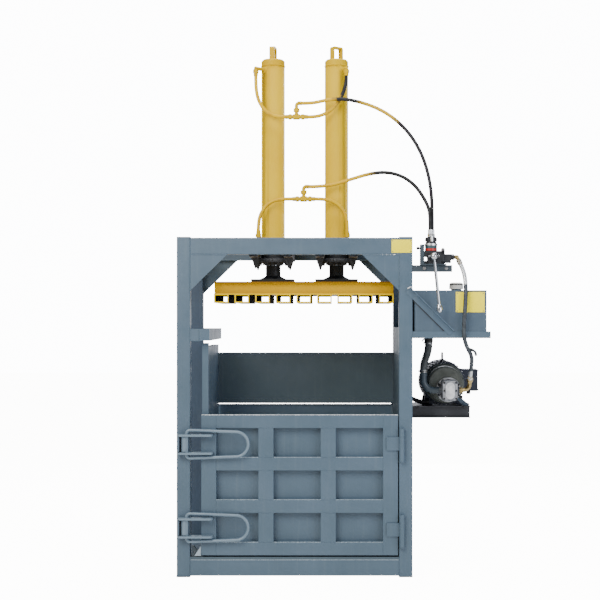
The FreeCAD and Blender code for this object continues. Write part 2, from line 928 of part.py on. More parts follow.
def pistons():
    """Pistons with two ring grooves, bored from below for the rods."""
    radius = cylinder_bore / 2 - fit_clearance
    low = piston_top - piston_height
    discs = []
    for x in cylinder_xs:
        disc = round_bar((x, 0, low), (0, 0, 1), radius, piston_height)
        seat = round_bar((x, 0, low - 1), (0, 0, 1), rod_radius + fit_clearance, piston_seat + 1)
        disc = disc.cut(seat)
        for z in (low + piston_height * 0.3, low + piston_height * 0.6):
            ring = round_bar((x, 0, z), (0, 0, 1), radius + 1, piston_ring)
            ring = ring.cut(round_bar((x, 0, z), (0, 0, 1), radius - piston_ring / 2, piston_ring))
            disc = disc.cut(ring)
        discs.append(disc)
    return group(discs)


# ---- tank and shelf ----

shelf_front = front
shelf_back = tank_back + shelf_wall


def angle_bar(x0, x1, y0, y1, low, leg_side):
    """An angle bar of the tray: one leg lies under the tank, one stands on the named side."""
    bar = block(x0, x1, y0, y1, low, low + shelf_angle)
    inside = {
        "front": (x0 - 1, x1 + 1, y0 + shelf_wall, y1 + 1),
        "back": (x0 - 1, x1 + 1, y0 - 1, y1 - shelf_wall),
        "left": (x0 + shelf_wall, x1 + 1, y0 - 1, y1 + 1),
        "right": (x0 - 1, x1 - shelf_wall, y0 - 1, y1 + 1),
    }[leg_side]
    return bar.cut(block(*inside, low + shelf_wall, low + shelf_angle + 1))


def power_shelf():
    """A tray of four angle bars on the side of the right front post."""
    front_leg = shelf_front + shelf_angle
    back_leg = shelf_back - shelf_angle
    return group([
        angle_bar(right, shelf_right, shelf_front, front_leg, shelf_low, "front"),
        angle_bar(right, shelf_right, back_leg, shelf_back, shelf_low, "back"),
        angle_bar(right, right + shelf_angle, front_leg, back_leg, shelf_low, "left"),
        angle_bar(shelf_right - shelf_angle, shelf_right, front_leg, back_leg, shelf_low, "right"),
    ])


def shelf_brace():
    """An angle bar from the post down to the front of the shelf."""
    run_x = brace_low[0] - brace_high[0]
    run_z = brace_low[1] - brace_high[1]
    length = math.hypot(run_x, run_z)
    half = shelf_angle / 2
    flat = block(0, length, -shelf_wall, 0, -half, half)
    rib = block(0, length, -shelf_angle, 0, half - shelf_wall, half)
    bar = flat.fuse(rib).removeSplitter()
    bar.rotate(vec(0, 0, 0), vec(0, -1, 0), math.degrees(math.atan2(run_z, run_x)))
    bar.translate(vec(brace_high[0], front, brace_high[1]))
    return bar


def oil_tank():
    """A welded tank with an overlapping top sheet, a filler neck and an outlet stub."""
    body = block(tank_left, tank_right, tank_front, tank_back, tank_low, tank_high)
    body = rounded(body, tank_corner, lambda e: lies_along(e, vec(0, 0, 1)))
    hollow = block(
        tank_left + tank_sheet, tank_right - tank_sheet, tank_front + tank_sheet, tank_back - tank_sheet,
        tank_low + tank_sheet, tank_high - tank_sheet)
    neck = round_bar((filler_x, filler_y, tank_high), (0, 0, 1), filler_neck, filler_neck_height)
    mouth = round_bar(
        (filler_x, filler_y, tank_high - tank_sheet - 1), (0, 0, 1),
        filler_neck - filler_neck_wall, filler_neck_height + tank_sheet + 2)
    stub = round_bar((outlet_x, pump_y, tank_low - outlet_length), (0, 0, 1), outlet_radius, outlet_length)
    return body.cut(hollow).fuse([neck, stub]).cut(mouth).removeSplitter()


def filler_cap():
    """The breather cap: a domed top, a knurled skirt and a plug in the neck."""
    seat = tank_high + filler_neck_height + seat_gap
    plug = filler_neck - filler_neck_wall - 2 * seat_gap
    return turned([
        (0, seat - filler_plug),
        (plug, seat - filler_plug),
        (plug, seat),
        (filler_radius, seat),
        (filler_radius, filler_top - 10),
        (filler_radius - 4, filler_top - 3),
        (filler_radius - 12, filler_top),
        (0, filler_top),
    ], filler_x, filler_y)


# ---- valve and lever ----

def valve_bracket():
    """A square tube on the post, with a folded plate on it that holds the valve."""
    tube = box_tube(
        right, bracket_right, front, front + bracket_size, bracket_low, bracket_high, bracket_wall, "x")
    sole = block(foot_left, valve_right + 10, valve_front, valve_back, bracket_high, valve_low)
    upright = block(foot_left, foot_left + foot_upright, valve_front, valve_back, bracket_high, foot_high)
    lip = block(
        foot_left, foot_left + foot_lip, valve_front, valve_front + foot_upright, bracket_high, foot_high)
    knob_z = foot_high - foot_knob_drop
    stud = round_bar((foot_left - foot_knob_reach, stack_y, knob_z), (1, 0, 0), 5, foot_knob_reach + 1)
    knob = Part.makeSphere(foot_knob_radius, vec(foot_left - foot_knob_reach, stack_y, knob_z))
    return tube.fuse([sole, upright, lip, stud, knob]).removeSplitter()


def valve_body():
    """A cast directional valve: spool block, port stack on top, relief stud and side outlet."""
    cast = block(valve_left, valve_right, valve_front, valve_back, valve_low, valve_high)
    cast = rounded(cast, 8, lambda e: lies_along(e, vec(0, 0, 1)))
    waist = block(
        valve_left - 1, valve_left + valve_step, valve_front - 1, valve_back + 1,
        valve_low + valve_step, valve_high - valve_shoulder)
    crown_low = stack_high - stack_crown
    stack = turned([
        (0, valve_high),
        (stack_radius, valve_high),
        (stack_radius, valve_high + stack_ring_low),
        (stack_radius + 2, valve_high + stack_ring_low + 3),
        (stack_radius + 2, valve_high + stack_ring_high - 3),
        (stack_radius - 2, valve_high + stack_ring_high),
        (stack_radius - 5, crown_low),
        (0, crown_low),
    ], stack_x, stack_y)
    crown = hex_bar((stack_x, stack_y, crown_low), (0, 0, 1), stack_radius - 3, stack_crown)
    crown = crown.common(turned([
        (0, crown_low),
        (stack_radius + 1, crown_low),
        (stack_radius + 1, stack_high - stack_crown / 3),
        (stack_radius - 7, stack_high),
        (0, stack_high),
    ], stack_x, stack_y))
    port_high_z = valve_high - valve_step
    port_block = block(
        valve_right - 26, valve_right + outlet_reach, valve_front + 12, valve_back - 12,
        valve_low + 6, port_high_z)
    relief = hex_bar((relief_x, stack_y, port_high_z), (0, 0, 1), relief_radius, relief_length * 0.65)
    stud = round_bar((relief_x, stack_y, port_high_z), (0, 0, 1), relief_radius * 0.6, relief_length)
    outlet = hex_bar((outlet_start, stack_y, lever_pivot_z), (1, 0, 0), outlet_nut, 20)
    nose = round_bar((outlet_start, stack_y, lever_pivot_z), (1, 0, 0), outlet_nose, outlet_reach)
    barrel = round_bar((lever_x, valve_front, lever_pivot_z), (0, -1, 0), clevis_width / 2, clevis_root)
    pieces = [stack, crown, port_block, relief, stud, outlet, nose, barrel, clevis()]
    return cast.cut(waist).fuse(pieces).removeSplitter()


def clevis():
    """The two ears in front of the spool that hold the lever's pin."""
    ears = None
    for side in (-1, 1):
        inner = lever_x + side * clevis_gap / 2
        outer = lever_x + side * clevis_width / 2
        x0 = min(inner, outer)
        x1 = max(inner, outer)
        ear = block(
            x0, x1, lever_y, valve_front, lever_pivot_z - clevis_radius, lever_pivot_z + clevis_radius)
        nose = round_bar((x0, lever_y, lever_pivot_z), (1, 0, 0), clevis_radius, x1 - x0)
        ear = ear.fuse(nose)
        ears = ear if ears is None else ears.fuse(ear)
    bore = round_bar(
        (lever_x - clevis_width, lever_y, lever_pivot_z), (1, 0, 0), pivot_radius + fit_clearance,
        2 * clevis_width)
    return ears.cut(bore)


def valve_lever():
    """The hand lever: a ball between the ears, its pin, and a round bar that leans to the right."""
    pin = round_bar(
        (lever_x - clevis_width / 2 - 3, lever_y, lever_pivot_z), (1, 0, 0), pivot_radius, clevis_width + 6)
    way = vec(lever_lean, 0, -lever_drop).normalize()
    pivot = vec(lever_x, lever_y, lever_pivot_z)
    ball = Part.makeSphere(lever_ball, pivot)
    neck = Part.makeCylinder(pivot_radius + 0.5, lever_neck, pivot + way * pivot_radius, way)
    length = math.hypot(lever_drop, lever_lean) - lever_neck - knob_length / 2 + knob_bore
    shank = Part.makeCylinder(lever_radius, length, pivot + way * lever_neck, way)
    return ball.fuse([pin, neck, shank]).removeSplitter()


def lever_knob():
    """A turned knob, bored for the end of the lever."""
    half = knob_length / 2
    way = vec(lever_lean, 0, -lever_drop).normalize()
    knob = turned([
        (0, -half),
        (knob_radius * 0.6, -half),
        (knob_radius, -half * 0.6),
        (knob_radius, half * 0.18),
        (lever_radius + 4, half * 0.78),
        (lever_radius + 3, half),
        (0, half),
    ], 0, 0)
    bore = round_bar((0, 0, half - knob_bore), (0, 0, 1), lever_radius + fit_clearance, knob_bore + 1)
    knob = knob.cut(bore)
    knob.Placement = FreeCAD.Placement(
        vec(lever_x + lever_lean, lever_y, lever_knob_z), FreeCAD.Rotation(vec(0, 0, -1), way))
    return knob


# ---- power unit ----

def motor_base():
    """A bed of four channels welded to the frame side, their grooves outwards."""
    x1 = base_right
    inner_y0 = base_front + shelf_angle
    inner_y1 = base_back - shelf_angle
    groove = shelf_angle - base_wall
    low = base_low + base_wall
    high = base_top - base_wall
    front_bar = block(right, x1, base_front, inner_y0, base_low, base_top)
    front_bar = front_bar.cut(block(right - 1, x1 + 1, base_front - 1, base_front + groove, low, high))
    back_bar = block(right, x1, inner_y1, base_back, base_low, base_top)
    back_bar = back_bar.cut(block(right - 1, x1 + 1, base_back - groove, base_back + 1, low, high))
    side_bar = block(x1 - shelf_angle, x1, inner_y0, inner_y1, base_low, base_top)
    side_bar = side_bar.cut(block(x1 - groove, x1 + 1, inner_y0 - 1, inner_y1 + 1, low, high))
    near_bar = block(right, base_near, inner_y0, inner_y1, base_top - base_wall, base_top)
    return group([front_bar, back_bar, side_bar, near_bar])


def motor_body():
    """A finned motor frame with its feet, end shields, terminal box and lifting eye."""
    points = []
    pitch = 2 * math.pi / fin_count
    for i in range(fin_count):
        for share, radius in (
                (-0.22, motor_radius), (-0.12, motor_radius + fin_height),
                (0.12, motor_radius + fin_height), (0.22, motor_radius)):
            turn = (i + share) * pitch
            x = motor_x + radius * math.cos(turn)
            points.append((x, shield_thickness, motor_z + radius * math.sin(turn)))
    frame = prism(points, (0, motor_back - 2 * shield_thickness, 0))
    lip = motor_radius + shield_lip
    shield = turned_y([
        (0, 0),
        (motor_radius - 10, 0),
        (lip, shield_thickness / 2),
        (lip, shield_thickness + shield_lip),
        (0, shield_thickness + shield_lip),
    ], motor_x, motor_z)
    rear_shield = turned_y([
        (0, motor_back - shield_thickness - shield_lip),
        (lip, motor_back - shield_thickness - shield_lip),
        (lip, motor_back - 6),
        (motor_radius - 4, motor_back),
        (0, motor_back),
    ], motor_x, motor_z)
    box = block(
        motor_x + motor_radius - 6, motor_x + motor_radius + terminal_depth, terminal_front, terminal_back,
        motor_z - terminal_low, motor_z + terminal_high)
    box = rounded(box, terminal_corner, lambda e: lies_along(e, vec(1, 0, 0)))
    eye_z = motor_z + motor_radius + fin_height
    stud = round_bar((motor_x, eye_y, eye_z - 16), (0, 0, 1), 2 * eye_bar, 24)
    ring = Part.makeTorus(
        eye_radius, eye_bar, vec(motor_x, eye_y, eye_z + eye_radius + eye_bar), vec(1, 0, 0))
    gland = hex_bar(
        (cable_end_x, cable_end_y, cable_end_z), (1, 0, 0), cable_gland_radius, cable_gland_length + 12)
    pieces = motor_feet() + [shield, rear_shield, box, stud, ring, gland]
    seat = round_bar(
        (motor_x, motor_back - shaft_seat, motor_z), (0, 1, 0), shaft_radius + fit_clearance, shaft_seat + 1)
    return frame.fuse(pieces).cut(seat).removeSplitter()


def motor_feet():
    """Four pads on the bed, each with a web up to the motor frame."""
    half = motor_foot_width / 2
    feet = []
    for side in (-1, 1):
        x = motor_x + side * motor_foot_spread
        for y in motor_foot_ys:
            feet.append(block(
                x - half, x + half, y, y + motor_foot_length, base_top, base_top + motor_foot_height))
            web_y = y + (motor_foot_length - motor_web) / 2
            web_low = base_top + motor_foot_height - 4
            near = motor_x + side * motor_radius * 0.47
            feet.append(prism([
                (x + side * (half - 8), web_y, web_low),
                (near, web_y, web_low),
                (near, web_y, motor_z - motor_radius * 0.62),
                (motor_x + side * motor_radius * 0.87, web_y, motor_z - motor_radius * 0.55),
            ], (0, motor_web, 0)))
    return feet


def motor_cowl():
    """The fan cover, a pressed cup with a ring of slots in its end."""
    inner = motor_radius + shield_lip + seat_gap
    corner_radius = cowl_radius - cowl_corner
    cup = turned_y([
        (inner, motor_back - shield_thickness),
        (cowl_radius, motor_back - shield_thickness),
        (cowl_radius, cowl_back - cowl_corner),
        (corner_radius, cowl_back),
        (0, cowl_back),
        (0, cowl_back - cowl_sheet),
        (corner_radius - cowl_sheet, cowl_back - cowl_sheet),
        (inner, cowl_back - cowl_corner - cowl_sheet),
    ], motor_x, motor_z)
    for i in range(cowl_slots):
        slot = block(
            motor_x + cowl_radius * 0.25, motor_x + cowl_radius * 0.77, cowl_back - 2 * cowl_sheet,
            cowl_back + 1, motor_z - cowl_slot_width / 2, motor_z + cowl_slot_width / 2)
        slot.rotate(vec(motor_x, 0, motor_z), vec(0, 1, 0), 360 / cowl_slots * (i + 0.5))
        cup = cup.cut(slot)
    return cup.removeSplitter()


def motor_fan():
    """The cooling fan on the end of the motor shaft: a hub, a disc and straight blades."""
    hub_start = motor_back + fan_gap
    shaft_start = motor_back - shaft_seat + 2
    hub_radius = shaft_radius + fan_hub_wall
    shaft_end = hub_start + fan_blade_depth + 5
    shaft = round_bar((motor_x, shaft_start, motor_z), (0, 1, 0), shaft_radius, shaft_end - shaft_start)
    hub = round_bar((motor_x, hub_start, motor_z), (0, 1, 0), hub_radius, fan_blade_depth + 3)
    disc = round_bar((motor_x, hub_start, motor_z), (0, 1, 0), fan_radius, fan_blade_sheet)
    fan = shaft.fuse([hub, disc])
    half = fan_blade_sheet / 2
    for i in range(fan_blades):
        blade = block(
            motor_x + hub_radius - fan_blade_sheet, motor_x + fan_radius - fan_blade_inset,
            hub_start + half, hub_start + fan_blade_depth, motor_z - half, motor_z + half)
        blade.rotate(vec(motor_x, 0, motor_z), vec(0, 1, 0), 360 / fan_blades * i)
        fan = fan.fuse(blade)
    return fan.removeSplitter()


def motor_bell():
    """The bell housing that carries the pump on the motor."""
    return turned_y([
        (0, bell_front),
        (bell_nose, bell_front),
        (bell_nose + 8, bell_front + 12),
        (bell_nose + 12, bell_front * 0.3),
        (bell_flange, bell_front * 0.2),
        (bell_flange, 0),
        (0, 0),
    ], motor_x, motor_z)


def gear_pump():
    """A gear pump on a round rimmed flange, with its bolted front cover and two port bosses."""
    half_width = pump_width / 2
    half_height = pump_height / 2
    flange_front = bell_front - pump_flange_thickness
    flange = turned_y([
        (0, flange_front),
        (pump_flange_radius - 3 * pump_flange_rim, flange_front),
        (pump_flange_radius - 2 * pump_flange_rim, flange_front - pump_flange_rim),
        (pump_flange_radius - pump_flange_rim, flange_front - pump_flange_rim),
        (pump_flange_radius, flange_front),
        (pump_flange_radius, bell_front),
        (0, bell_front),
    ], pump_x, pump_z)
    cover_front = pump_front + pump_nose
    cover_back = cover_front + pump_cover
    body = block(
        pump_x - half_width, pump_x + half_width, cover_back, flange_front,
        pump_z - half_height, pump_z + half_height)
    body = rounded(body, 24, lambda e: lies_along(e, vec(0, 1, 0)))
    cover = block(
        pump_x - half_width + 6, pump_x + half_width - 6, cover_front, cover_back,
        pump_z - half_height + 5, pump_z + half_height - 5)
    cover = rounded(cover, 20, lambda e: lies_along(e, vec(0, 1, 0)))
    nose_half = pump_nose_width / 2
    nose = block(
        pump_x - nose_half, pump_x + nose_half, pump_front, cover_front,
        pump_z - half_height + 15, pump_z + half_height - 15)
    nose = rounded(nose, nose_half - 0.5, lambda e: lies_along(e, vec(0, 1, 0)))
    inlet = round_bar(
        (pump_x - half_width - pump_boss, pump_y, pump_z), (1, 0, 0), inlet_boss_radius,
        pump_boss + 2)
    outlet = round_bar(
        (pump_x + half_width - 2, pump_y, pump_z), (1, 0, 0), outlet_boss_radius, pump_boss + 2)
    return flange.fuse([body, cover, nose, inlet, outlet]).removeSplitter()


# ---- pipes, fittings and hoses ----

def bent_bar(points, radius, corner):
    """A round bar along straight runs with one corner radius."""
    edges = []
    last = vec(*points[0])
    for before, here, after in zip(points, points[1:], points[2:]):
        a = vec(*before)
        b = vec(*here)
        c = vec(*after)
        to_a = (a - b).normalize()
        to_c = (c - b).normalize()
        half = math.acos(max(-1, min(1, to_a.dot(to_c)))) / 2
        trim = corner / math.tan(half)
        start = b + to_a * trim
        end = b + to_c * trim
        middle = b + (to_a + to_c).normalize() * (corner / math.sin(half) - corner)
        edges.append(Part.LineSegment(last, start).toShape())
        edges.append(Part.Arc(start, middle, end).toShape())
        last = end
    edges.append(Part.LineSegment(last, vec(*points[-1])).toShape())
    first = vec(*points[0])
    return swept(edges, first, vec(*points[1]) - first, radius)


def swept(edges, start, way, radius):
    """A round bar along joined edges that set out from the start in the direction way."""
    ring = Part.Wire(Part.Circle(start, way, radius).toShape())
    return Part.Wire(edges).makePipeShell([ring], True, False, 0)


elbow_x = pump_x + 120.0
elbow_radius = 13.0
elbow_corner = 44.0
elbow_rise = 88.0
pump_ferrule = 37.0
pump_nut_radius = 17.0
valve_ferrule_way = (0.42, -0.11, -0.9)
valve_ferrule = 46.0
outlet_nose_x = outlet_start + outlet_reach
feed_ends = ((stack_x + 9.0, stack_y + 19.0), (stack_x - 6.0, stack_y - 19.0))
feed_nut_top = stack_high + 44.0
suction_x = motor_x - 140.0
suction_joint = motor_z + 71.0
suction_bend_radius = 21.0


def valve_fittings():
    """The two nuts on the valve's crown and the turned-down elbow at its side outlet."""
    pieces = []
    for x, y in feed_ends:
        nut = hex_bar((x, y, stack_high), (0, 0, 1), 14, 20)
        ferrule = round_bar((x, y, stack_high), (0, 0, 1), 13.5, feed_nut_top - stack_high)
        pieces.append(nut.fuse(ferrule).removeSplitter())
    way = vec(*valve_ferrule_way).normalize()
    centre = vec(outlet_nose_x, stack_y, lever_pivot_z)
    ball = Part.makeSphere(12, centre)
    ferrule = Part.makeCylinder(14.5, valve_ferrule - 14, centre + way * 14, way)
    neck = Part.makeCylinder(11, 16, centre, way)
    back_face = round_bar((outlet_nose_x - 12, stack_y, lever_pivot_z), (1, 0, 0), 12, 12)
    nose = round_bar(
        (outlet_nose_x - 40, stack_y, lever_pivot_z), (1, 0, 0), outlet_nose + fit_clearance, 40)
    pieces.append(ball.fuse([ferrule, neck, back_face]).cut(nose).removeSplitter())
    return group(pieces)


def pump_fittings():
    """The suction pipe's bend, and the pressure pipe with its nut and ferrule at the pump."""
    suction = bent_bar([
        (suction_x, pump_y, suction_joint),
        (suction_x, pump_y, pump_z),
        (pump_x - pump_width / 2 - pump_boss, pump_y, pump_z),
    ], suction_bend_radius, 62)
    collar = round_bar((suction_x, pump_y, suction_joint - 16), (0, 0, 1), suction_radius, 16)
    near = pump_x + pump_width / 2 + pump_boss
    way = vec(0, -1, 1).normalize()
    corner = vec(elbow_x, pump_y, pump_z)
    end = corner + way * elbow_rise
    pipe = bent_bar([(near, pump_y, pump_z), tuple(corner), tuple(end)], elbow_radius, elbow_corner)
    foot_nut = hex_bar((near, pump_y, pump_z), (1, 0, 0), pump_nut_radius, 18)
    top_nut = hex_bar(tuple(end - way * 6), tuple(way), pump_nut_radius, 24)
    ferrule = Part.makeCylinder(pump_nut_radius - 1.5, pump_ferrule, end, way)
    return group([
        suction.fuse(collar).removeSplitter(),
        pipe.fuse([foot_nut, top_nut, ferrule]).removeSplitter(),
    ])


tee_reach = 70.0
upper_tee = (3.0, 2778.0)
lower_tee = (47.0, 2272.0)
upper_riser = 84.0
lower_riser = 76.0
riser_reach = 34.0


def hose_tees():
    """Two forged tees with swivel nuts, each with a riser elbow to its feed hose."""
    tees = []
    for (x, z), riser in ((upper_tee, upper_riser), (lower_tee, lower_riser)):
        run = round_bar((x - tee_reach, hose_y, z), (1, 0, 0), 13, 2 * tee_reach)
        body = hex_bar((x - 20, hose_y, z), (1, 0, 0), 15.5, 40)
        nuts = [
            hex_bar((x - 48, hose_y, z), (1, 0, 0), 15, 18),
            hex_bar((x + 30, hose_y, z), (1, 0, 0), 15, 18),
            hex_bar((x, hose_y, z + 30), (0, 0, 1), 16, 22),
        ]
        elbow = bent_bar([
            (x, hose_y, z), (x, hose_y, z + riser), (x + riser_reach, hose_y, z + riser)], 11, 16)
        tees.append(run.fuse([body, elbow] + nuts).removeSplitter())
    return group(tees)


hose_radius = 11.0
pressure_radius = 12.5
suction_radius = 23.5

upper_left_route = [
    (-248, hose_y, 3032), (-248, hose_y, 2965), (-236, hose_y, 2890), (-203, hose_y, 2828),
    (-160, hose_y, 2793), (-113, hose_y, 2778), (-67, hose_y, 2778)]
upper_right_route = [
    (73, hose_y, 2778), (122, hose_y, 2778), (178, hose_y, 2795), (230, hose_y, 2832),
    (275, hose_y, 2890), (311, hose_y, 2980), (311, hose_y, 3032)]
lower_left_route = [
    (-23, hose_y, 2272), (-80, hose_y, 2272), (-137, hose_y, 2263), (-185, hose_y, 2232),
    (-217, hose_y, 2184), (-232, hose_y, 2126), (-232, hose_y, 2074)]
lower_right_route = [
    (117, hose_y, 2272), (168, hose_y, 2272), (222, hose_y, 2260), (270, hose_y, 2229),
    (301, hose_y, 2183), (316, hose_y, 2126), (316, hose_y, 2074)]
upper_feed_route = [
    (37, hose_y, 2862), (105, hose_y, 2862), (190, -137, 2880), (290, -154, 2884), (395, -166, 2862),
    (495, -182, 2824), (585, -208, 2768), (670, -246, 2685), (738, -290, 2580), (785, -335, 2460),
    (812, -372, 2325), (819, -398, 2190), (819, -398, 2062)]
lower_feed_route = [
    (81, hose_y, 2348), (150, hose_y, 2348), (250, -121, 2364), (350, -138, 2395), (450, -165, 2422),
    (550, -200, 2430), (645, -245, 2402), (722, -300, 2340), (774, -356, 2255), (800, -408, 2185),
    (804, -436, 2125), (804, -436, 2062)]
pressure_route = [
    (984.4, -422.1, 1858.5), (1004.6, -427.4, 1815.2), (1014, -443, 1742), (1013, -456, 1662),
    (1007, -462, 1578), (1001, -462, 1498), (1003, -454, 1428), (1018, -418, 1364), (1040, -366, 1305),
    (1060, -304.4, 1235.4), (1060, -253.4, 1184.4)]
suction_route = [
    (814, -165, 1398), (814, -165, 1365.5), (809, -165, 1332.5), (798.5, -165, 1299.5),
    (787.5, -165, 1266.5), (782, -165, 1234), (782, -165, 1202)]


cable_route = [
    (646, 45, 1043), (682.5, 45, 1043), (719, 41, 1035),
    (755.5, 34, 1019.5), (792, 30, 1011), (829, 30, 1011)]


def hose(name, route, radius):
    """A tube of straight runs and tangent arcs; prints each arc's radius and the length."""
    points = [vec(*p) for p in route]
    edges = []
    radii = []
    last = points[0]
    for a, b, c in zip(points, points[1:], points[2:]):
        to_a = a - b
        to_c = c - b
        shorter = min(to_a.Length, to_c.Length)
        half_turn = (math.pi - to_a.getAngle(to_c)) / 2
        trim = 0.45 * shorter
        bend = trim / math.tan(half_turn)
        radii.append(bend)
        to_a.normalize()
        to_c.normalize()
        start = b + to_a * trim
        end = b + to_c * trim
        middle = b + (to_a + to_c).normalize() * (bend / math.cos(half_turn) - bend)
        edges.append(Part.LineSegment(last, start).toShape())
        edges.append(Part.Arc(start, middle, end).toShape())
        last = end
    edges.append(Part.LineSegment(last, points[-1]).toShape())
    tube = swept(edges, points[0], points[1] - points[0], radius)
    length = sum(e.Length for e in edges)
    share = tube.Volume / (math.pi * radius ** 2 * length)
    print(name, "radii", [round(r) for r in radii], "length", round(length), "volume share", round(share, 4))
    return tube


# ---- the machine ----

def pieces():
    """Every node's shape by its name, in the sketch frame."""
    left_front = post(left, front)
    right_front = post(right - post_size, front)
    front_beam = cross_channel(beam_low)
    front_sill = cross_channel(sill_lift)
    handles = [latch_handle(z) for z in latch_heights]
    return {
        "left_front_post": left_front,
        "right_front_post": right_front,
        "left_rear_post": mirrored(left_front),
        "right_rear_post": mirrored(right_front),
        "front_top_channel": front_beam,
        "rear_top_channel": mirrored(front_beam),
        "front_sill": front_sill,
        "rear_sill": mirrored(front_sill),
        "side_rails": side_rails(),
        "corner_gussets": corner_gussets(),
        "cylinder_carriers": cylinder_carriers(),
        "left_wall": left_wall(),
        "right_wall": right_wall(),
        "guide_rail": guide_rail(),
        "chamber_floor": chamber_floor(),
        "rear_panel": rear_panel(),
        "door_ramp": wedge_ramp(),
        "front_hinge_pins": hinge_pins(),
        "rear_hinge_pins": mirrored(hinge_pins()),
        "latch_keepers": group([latch_keepers(), mirrored(latch_keepers())]),
        "left_cylinder": cylinder(0),
        "right_cylinder": cylinder(1),
        "left_cylinder_cap": cylinder_cap(0),
        "right_cylinder_cap": cylinder_cap(1),
        "cylinder_glands": cylinder_glands(),
        "cylinder_ports": cylinder_ports(),
        "front_door_frame": door_frame(door_high),
        "front_door_skin": door_skin_plate(door_high),
        "front_latch_arms": latch_arms(),
        "front_upper_handle": handles[0],
        "front_lower_handle": handles[1],
        "rear_door_frame": mirrored(door_frame(rear_door_high)),
        "rear_door_skin": mirrored(door_skin_plate(rear_door_high)),
        "rear_latch_arms": mirrored(latch_arms()),
        "rear_upper_handle": mirrored(handles[0]),
        "rear_lower_handle": mirrored(handles[1]),
        "platen_frame": platen_frame(),
        "platen_plate": platen_plate(),
        "platen_ribs": platen_ribs(),
        "rod_feet": rod_feet(),
        "piston_rods": piston_rods(),
        "pistons": pistons(),
        "power_shelf": power_shelf(),
        "shelf_brace": shelf_brace(),
        "oil_tank": oil_tank(),
        "filler_cap": filler_cap(),
        "valve_bracket": valve_bracket(),
        "valve_body": valve_body(),
        "valve_lever": valve_lever(),
        "lever_knob": lever_knob(),
        "motor_base": motor_base(),
        "motor_body": motor_body(),
        "motor_cowl": motor_cowl(),
        "motor_fan": motor_fan(),
        "motor_bell": motor_bell(),
        "gear_pump": gear_pump(),
        "pipe_fittings": group([valve_fittings(), pump_fittings()]),
        "hose_tees": hose_tees(),
        "cylinder_hoses": group([
            hose("upper left loop", upper_left_route, hose_radius),
            hose("upper right loop", upper_right_route, hose_radius),
            hose("lower left loop", lower_left_route, hose_radius),
            hose("lower right loop", lower_right_route, hose_radius),
            hose("upper feed", upper_feed_route, hose_radius),
            hose("lower feed", lower_feed_route, hose_radius),
        ]),
        "pump_hoses": group([
            hose("pressure hose", pressure_route, pressure_radius),
            hose("suction hose", suction_route, suction_radius),
            hose("motor cable", cable_route, cable_radius),
        ]),
    }


cord_nodes = ("hose_tees", "cylinder_hoses", "pump_hoses")


def set_down(shapes):
    """Moves everything so that the origin is the middle of the footprint, on the floor."""
    box = FreeCAD.BoundBox()
    for name, shape in shapes.items():
        if name not in cord_nodes:
            box.add(shape.optimalBoundingBox(False))
    middle = vec(-(box.XMin + box.XMax) / 2, -(box.YMin + box.YMax) / 2, -box.ZMin)
    print("machine box", [round(v, 2) for v in (box.XLength, box.YLength, box.ZLength)])
    print("moved by", [round(v, 3) for v in middle])
    for shape in shapes.values():
        shape.translate(middle)


def main():
    os.makedirs("parts", exist_ok=True)
    shapes = pieces()
    set_down(shapes)
    for name, shape in shapes.items():
        shape.exportStep("parts/" + name + ".step")


main()
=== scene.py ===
import math

import bmesh
import bpy
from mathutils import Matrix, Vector


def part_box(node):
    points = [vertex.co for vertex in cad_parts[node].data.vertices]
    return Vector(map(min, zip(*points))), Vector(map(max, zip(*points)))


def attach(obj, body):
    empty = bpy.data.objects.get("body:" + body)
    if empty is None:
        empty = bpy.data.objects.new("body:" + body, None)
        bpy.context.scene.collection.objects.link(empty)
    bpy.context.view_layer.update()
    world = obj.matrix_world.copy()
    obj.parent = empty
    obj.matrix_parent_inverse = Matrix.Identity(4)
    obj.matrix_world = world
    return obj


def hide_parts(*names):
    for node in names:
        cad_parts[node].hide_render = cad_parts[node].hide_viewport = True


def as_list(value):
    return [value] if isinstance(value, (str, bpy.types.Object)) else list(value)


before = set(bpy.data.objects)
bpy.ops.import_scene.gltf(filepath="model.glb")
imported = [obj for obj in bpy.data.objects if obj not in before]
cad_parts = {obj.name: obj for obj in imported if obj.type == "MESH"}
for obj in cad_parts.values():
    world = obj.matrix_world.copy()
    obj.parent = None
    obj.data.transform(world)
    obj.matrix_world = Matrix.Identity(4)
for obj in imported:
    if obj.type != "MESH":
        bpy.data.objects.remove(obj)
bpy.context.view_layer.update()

# Lengths below are millimetres on the machine's own axes: X from the middle of the posts,
# Y from the middle of the depth, Z from the floor. place() turns them to scene metres.
postCorner = (-700, -430, 0)  # the outer foot of the left front post
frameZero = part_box("left_front_post")[0] - Vector(postCorner) / 1000


def place(x, y, z):
    return frameZero + Vector((x, y, z)) / 1000


def stageNote(words):
    print("stage:", words)


camera = {
    "lens": 80.64, "sensor": 36, "shiftX": -0.055, "shiftY": 0.0317, "reach": 100,
    "spot": (228, -8400, 1532),
}
lamps = {
    # name: spot, aim, size in metres, watts, colour
    "keySoftbox": ((-2600, -5200, 4700), (100, 0, 1400), 3.2, 400, "fff8ee"),
    "fillSoftbox": ((4200, -4200, 2600), (300, 0, 1200), 3.0, 150, "f3f6ff"),
    "rearSoftbox": ((1500, 4200, 4600), (100, 0, 1800), 3.0, 200, "f2f6ff"),
    "lowRearSoftbox": ((100, 5600, 1900), (100, 0, 1300), 4.0, 80, "f6f8ff"),
    "topSoftbox": ((100, -600, 6400), (100, 0, 1500), 3.4, 200, "ffffff"),
}
room = {  # the glows are what the camera sees behind the object, the strength is what lights it
    "world": "f7f8fa", "strength": 0.42, "backdropGlow": 14.5,
    "floor": "f6f6f4", "floorGlow": 13.6, "floorSize": 60,
}


def linear(hexText):  # sRGB hex to linear RGBA
    values = [int(hexText[i:i + 2], 16) / 255 for i in (0, 2, 4)]
    return tuple(v / 12.92 if v <= 0.04045 else ((v + 0.055) / 1.055) ** 2.4 for v in values) + (1.0,)


